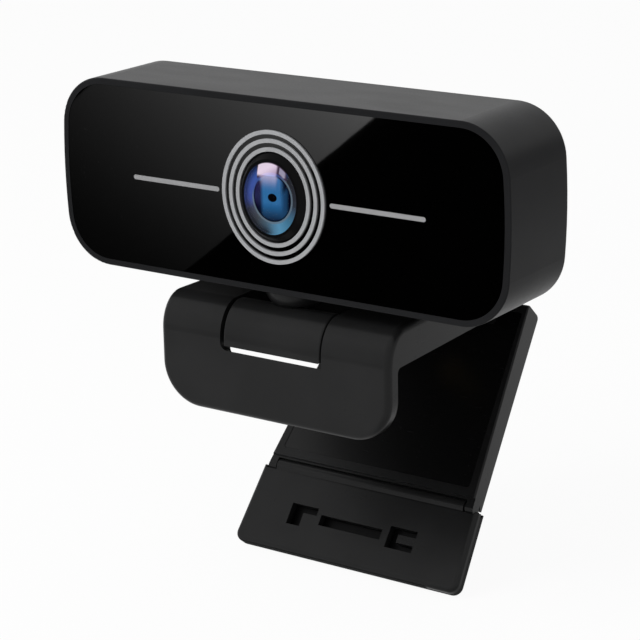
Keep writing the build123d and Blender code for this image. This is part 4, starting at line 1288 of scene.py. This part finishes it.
@dataclass
class MirrorCards:
    """Cards that only gloss sees, standing or lying where a face mirrors the camera's view to.

    The glossy front panel mirrors a dark card, and a graded one that ends at a slanting line,
    which shows on the panel as a crisp edge. The head's right side mirrors a card that darkens
    upwards. The lip's crest mirrors a dark card behind the object, painted shade for the shade
    under the head, and the foot's edge a dark card below, a painted shadow of the object.
    Cards that lie on the floor are lifted a little, each kind to a height of its own.
    """

    camera: Camera
    ground: float
    panel_y: float = -24.3 * MM
    side_x: float = 46.7 * MM
    slope: float = 0.79
    middle: float = -0.3 * MM
    mirror_share: float = 0.042
    low: float = 0.4 * MM
    half_way: float = 0.6 * MM
    high: float = 0.8 * MM

    def mirrored(
        self, points: Sequence[Any], axis: int, lift: float, stand_off: float = math.inf
    ) -> np.ndarray:
        """Where the camera's view of points on a flat face goes after the mirror.

        The camera is reflected through the face's plane. A straight line from there through a
        point of the face goes on until it is `stand_off` away from the face or `lift` over the
        floor, whichever comes first.

        Args:
            points: the X, Y and Z of points on the face, as arrays or numbers.
            axis: the axis that the face is square to.
            lift: how far over the floor a card lies.
            stand_off: how far from the face a card stands.

        Returns:
            The places on the card, with a last axis of 3.
        """
        eye = np.array(self.camera.place())
        eye[axis] = 2 * points[axis] - eye[axis]
        ray = np.stack(np.broadcast_arrays(*points), axis=-1) - eye
        to_floor = (self.ground + lift - eye[2]) / ray[..., 2]
        to_card = 1 + stand_off / np.abs(ray[..., axis])
        return eye + ray * np.minimum(to_floor, to_card)[..., None]

    def before_panel(self, x: np.ndarray, z: np.ndarray, lift: float) -> np.ndarray:
        """Where the camera's view of the front panel meets the floor.

        Args:
            x: distances to the right of the lens axis.
            z: heights over it.
            lift: how far over the floor the card lies.

        Returns:
            The places on the card.
        """
        return self.mirrored((x, self.panel_y, z + LENS_Z), 1, lift)

    @staticmethod
    def linear(tone: np.ndarray) -> np.ndarray:
        """The light of a tone from 0 to 1, by the curve of an ordinary screen."""
        return ((np.clip(tone, 0, 1) + 0.055) / 1.055) ** 2.4

    @staticmethod
    def card(name: str, points: np.ndarray, glow: Union[np.ndarray, float]) -> None:
        """Makes a sheet that shows only in gloss, with a brightness of its own at each point.

        Args:
            name: its name.
            points: its grid of points.
            glow: the brightness at each, or one for all.
        """
        mesh = grid_mesh(name, points)
        layer = mesh.attributes.new("glow", "FLOAT", "POINT")
        values = np.broadcast_to(glow, points.shape[:2]).astype(np.float32)
        layer.data.foreach_set("value", values.ravel())
        card = new_object(name, mesh)
        for ray in ("camera", "diffuse", "transmission", "shadow", "volume_scatter"):
            setattr(card, f"visible_{ray}", False)
        g = Graph.material(name)
        strength = g.node("ShaderNodeAttribute", {"attribute_name": "glow"}, output="Fac")
        shine = g.node("ShaderNodeEmission", sockets={"Strength": strength})
        mesh.materials.append(g.end(shine))
        card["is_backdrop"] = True

    def dark_card(self) -> None:
        """The card that leaves the panel black, and a bright one beyond each of its long edges.

        Rough surfaces mirror all three together, so that these look even on them. The bright
        ones get brighter to the right.
        """
        half_width, half_height = 52 * MM, 19 * MM
        side = np.linspace(-1.0, 1.0, 9)
        x, z = np.meshgrid(side * half_width, side * half_height)
        self.card("dark_card", self.before_panel(x, z, self.low), 0.0)
        beyond = np.linspace(19.2, 33, 9) * MM
        for name, end in (("fill_card_1", -1), ("fill_card_2", 1)):
            x, z = np.meshgrid(side * 60 * MM, end * beyond)
            self.card(name, self.before_panel(x, z, self.low), 1.75 + 6.0 * x)

    def graded_card(self) -> None:
        """The card over the dark one, along the slanting line and away to its upper left.

        On the panel, its tone rises evenly to the right and upwards, faster to the right the
        higher up. It levels off softly in the dark corner: half the sum of the tone and of the
        root of its square and the floor's.
        """
        line, breadth = np.linspace(-40, 30, 60) * MM, np.linspace(0, 60, 60) * MM
        along, away = np.meshgrid(line, breadth)
        x = along - away
        z = self.middle + self.slope * along
        middle, upwards, rightwards, both, floor = 0.141, 5.1, 2.35, 43.0, 0.031
        tone = middle + upwards * z + (rightwards + both * z) * x
        tone = (tone + np.sqrt(tone**2 + floor**2)) / 2
        glow = self.linear(tone) / self.mirror_share
        self.card("graded_card", self.before_panel(x, z, self.high), glow)

    def side_card(self) -> None:
        """The card behind the object's right side.

        It is dark over the head's top, and from there down its brightness rises with the square
        of the distance. It stays even below the head and dims a little beside the leg.
        """
        head_top, head_foot, leg_top, leg_middle = 14 * MM, -10 * MM, -20 * MM, -40 * MM
        y, z = np.meshgrid(np.linspace(-60, 60, 20) * MM, np.linspace(-110, 60, 80) * MM)
        rise = np.clip((head_top - z) / (head_top - head_foot), 0, 1)
        fall = np.clip((leg_top - z) / (leg_top - leg_middle), 0, 1)
        points = self.mirrored((self.side_x, y, z + LENS_Z), 0, self.half_way, 60 * MM)
        self.card("side_card", points, 0.32 + 0.40 * rise**2 - 0.14 * fall)

    def painted_shadow_card(self) -> None:
        """A dark card on the floor below the foot: painted shadow, for the object's shadow there.
        """
        x, y = np.meshgrid(np.linspace(-30, 24, 9) * MM, np.linspace(-6, 70, 9) * MM)
        points = np.stack([x, y, np.full_like(x, self.ground + self.low)], axis=-1)
        # Dark, as painted shadow where the object shades the floor.
        self.card("painted_shadow_card", points, 0.1)

    def painted_shade_card(self) -> None:
        """A dark card behind the gap between head and clip, which the lip's crest mirrors: painted
        shade.
        """
        x, z = np.meshgrid(np.linspace(-130, 20, 9) * MM, np.linspace(-2, 40, 9) * MM)
        # Nearly black, as painted shade for the crest under the head.
        self.card("painted_shade_card", np.stack([x, np.full_like(x, 60 * MM), z], axis=-1), 0.02)

    def build(self) -> None:
        """Makes the cards."""
        self.dark_card()
        self.graded_card()
        self.side_card()
        self.painted_shadow_card()
        self.painted_shade_card()


def main() -> None:
    """Loads the frame, dresses every sub-assembly and lights it."""
    logging.basicConfig(level=logging.INFO, format="%(name)s: %(message)s")
    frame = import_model()
    cad_low, cad_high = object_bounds()
    camera = Camera()
    camera.build()
    bpy.context.scene.view_settings.view_transform = "Standard"
    wardrobe = Wardrobe(frame["nodes"])
    for assembly in (Head(), Neck(), Clip(), Leg()):
        assembly.build(wardrobe)
    Studio(cad_low[2]).build()
    MirrorCards(camera, cad_low[2]).build()


if __name__ == "__main__":
    main()
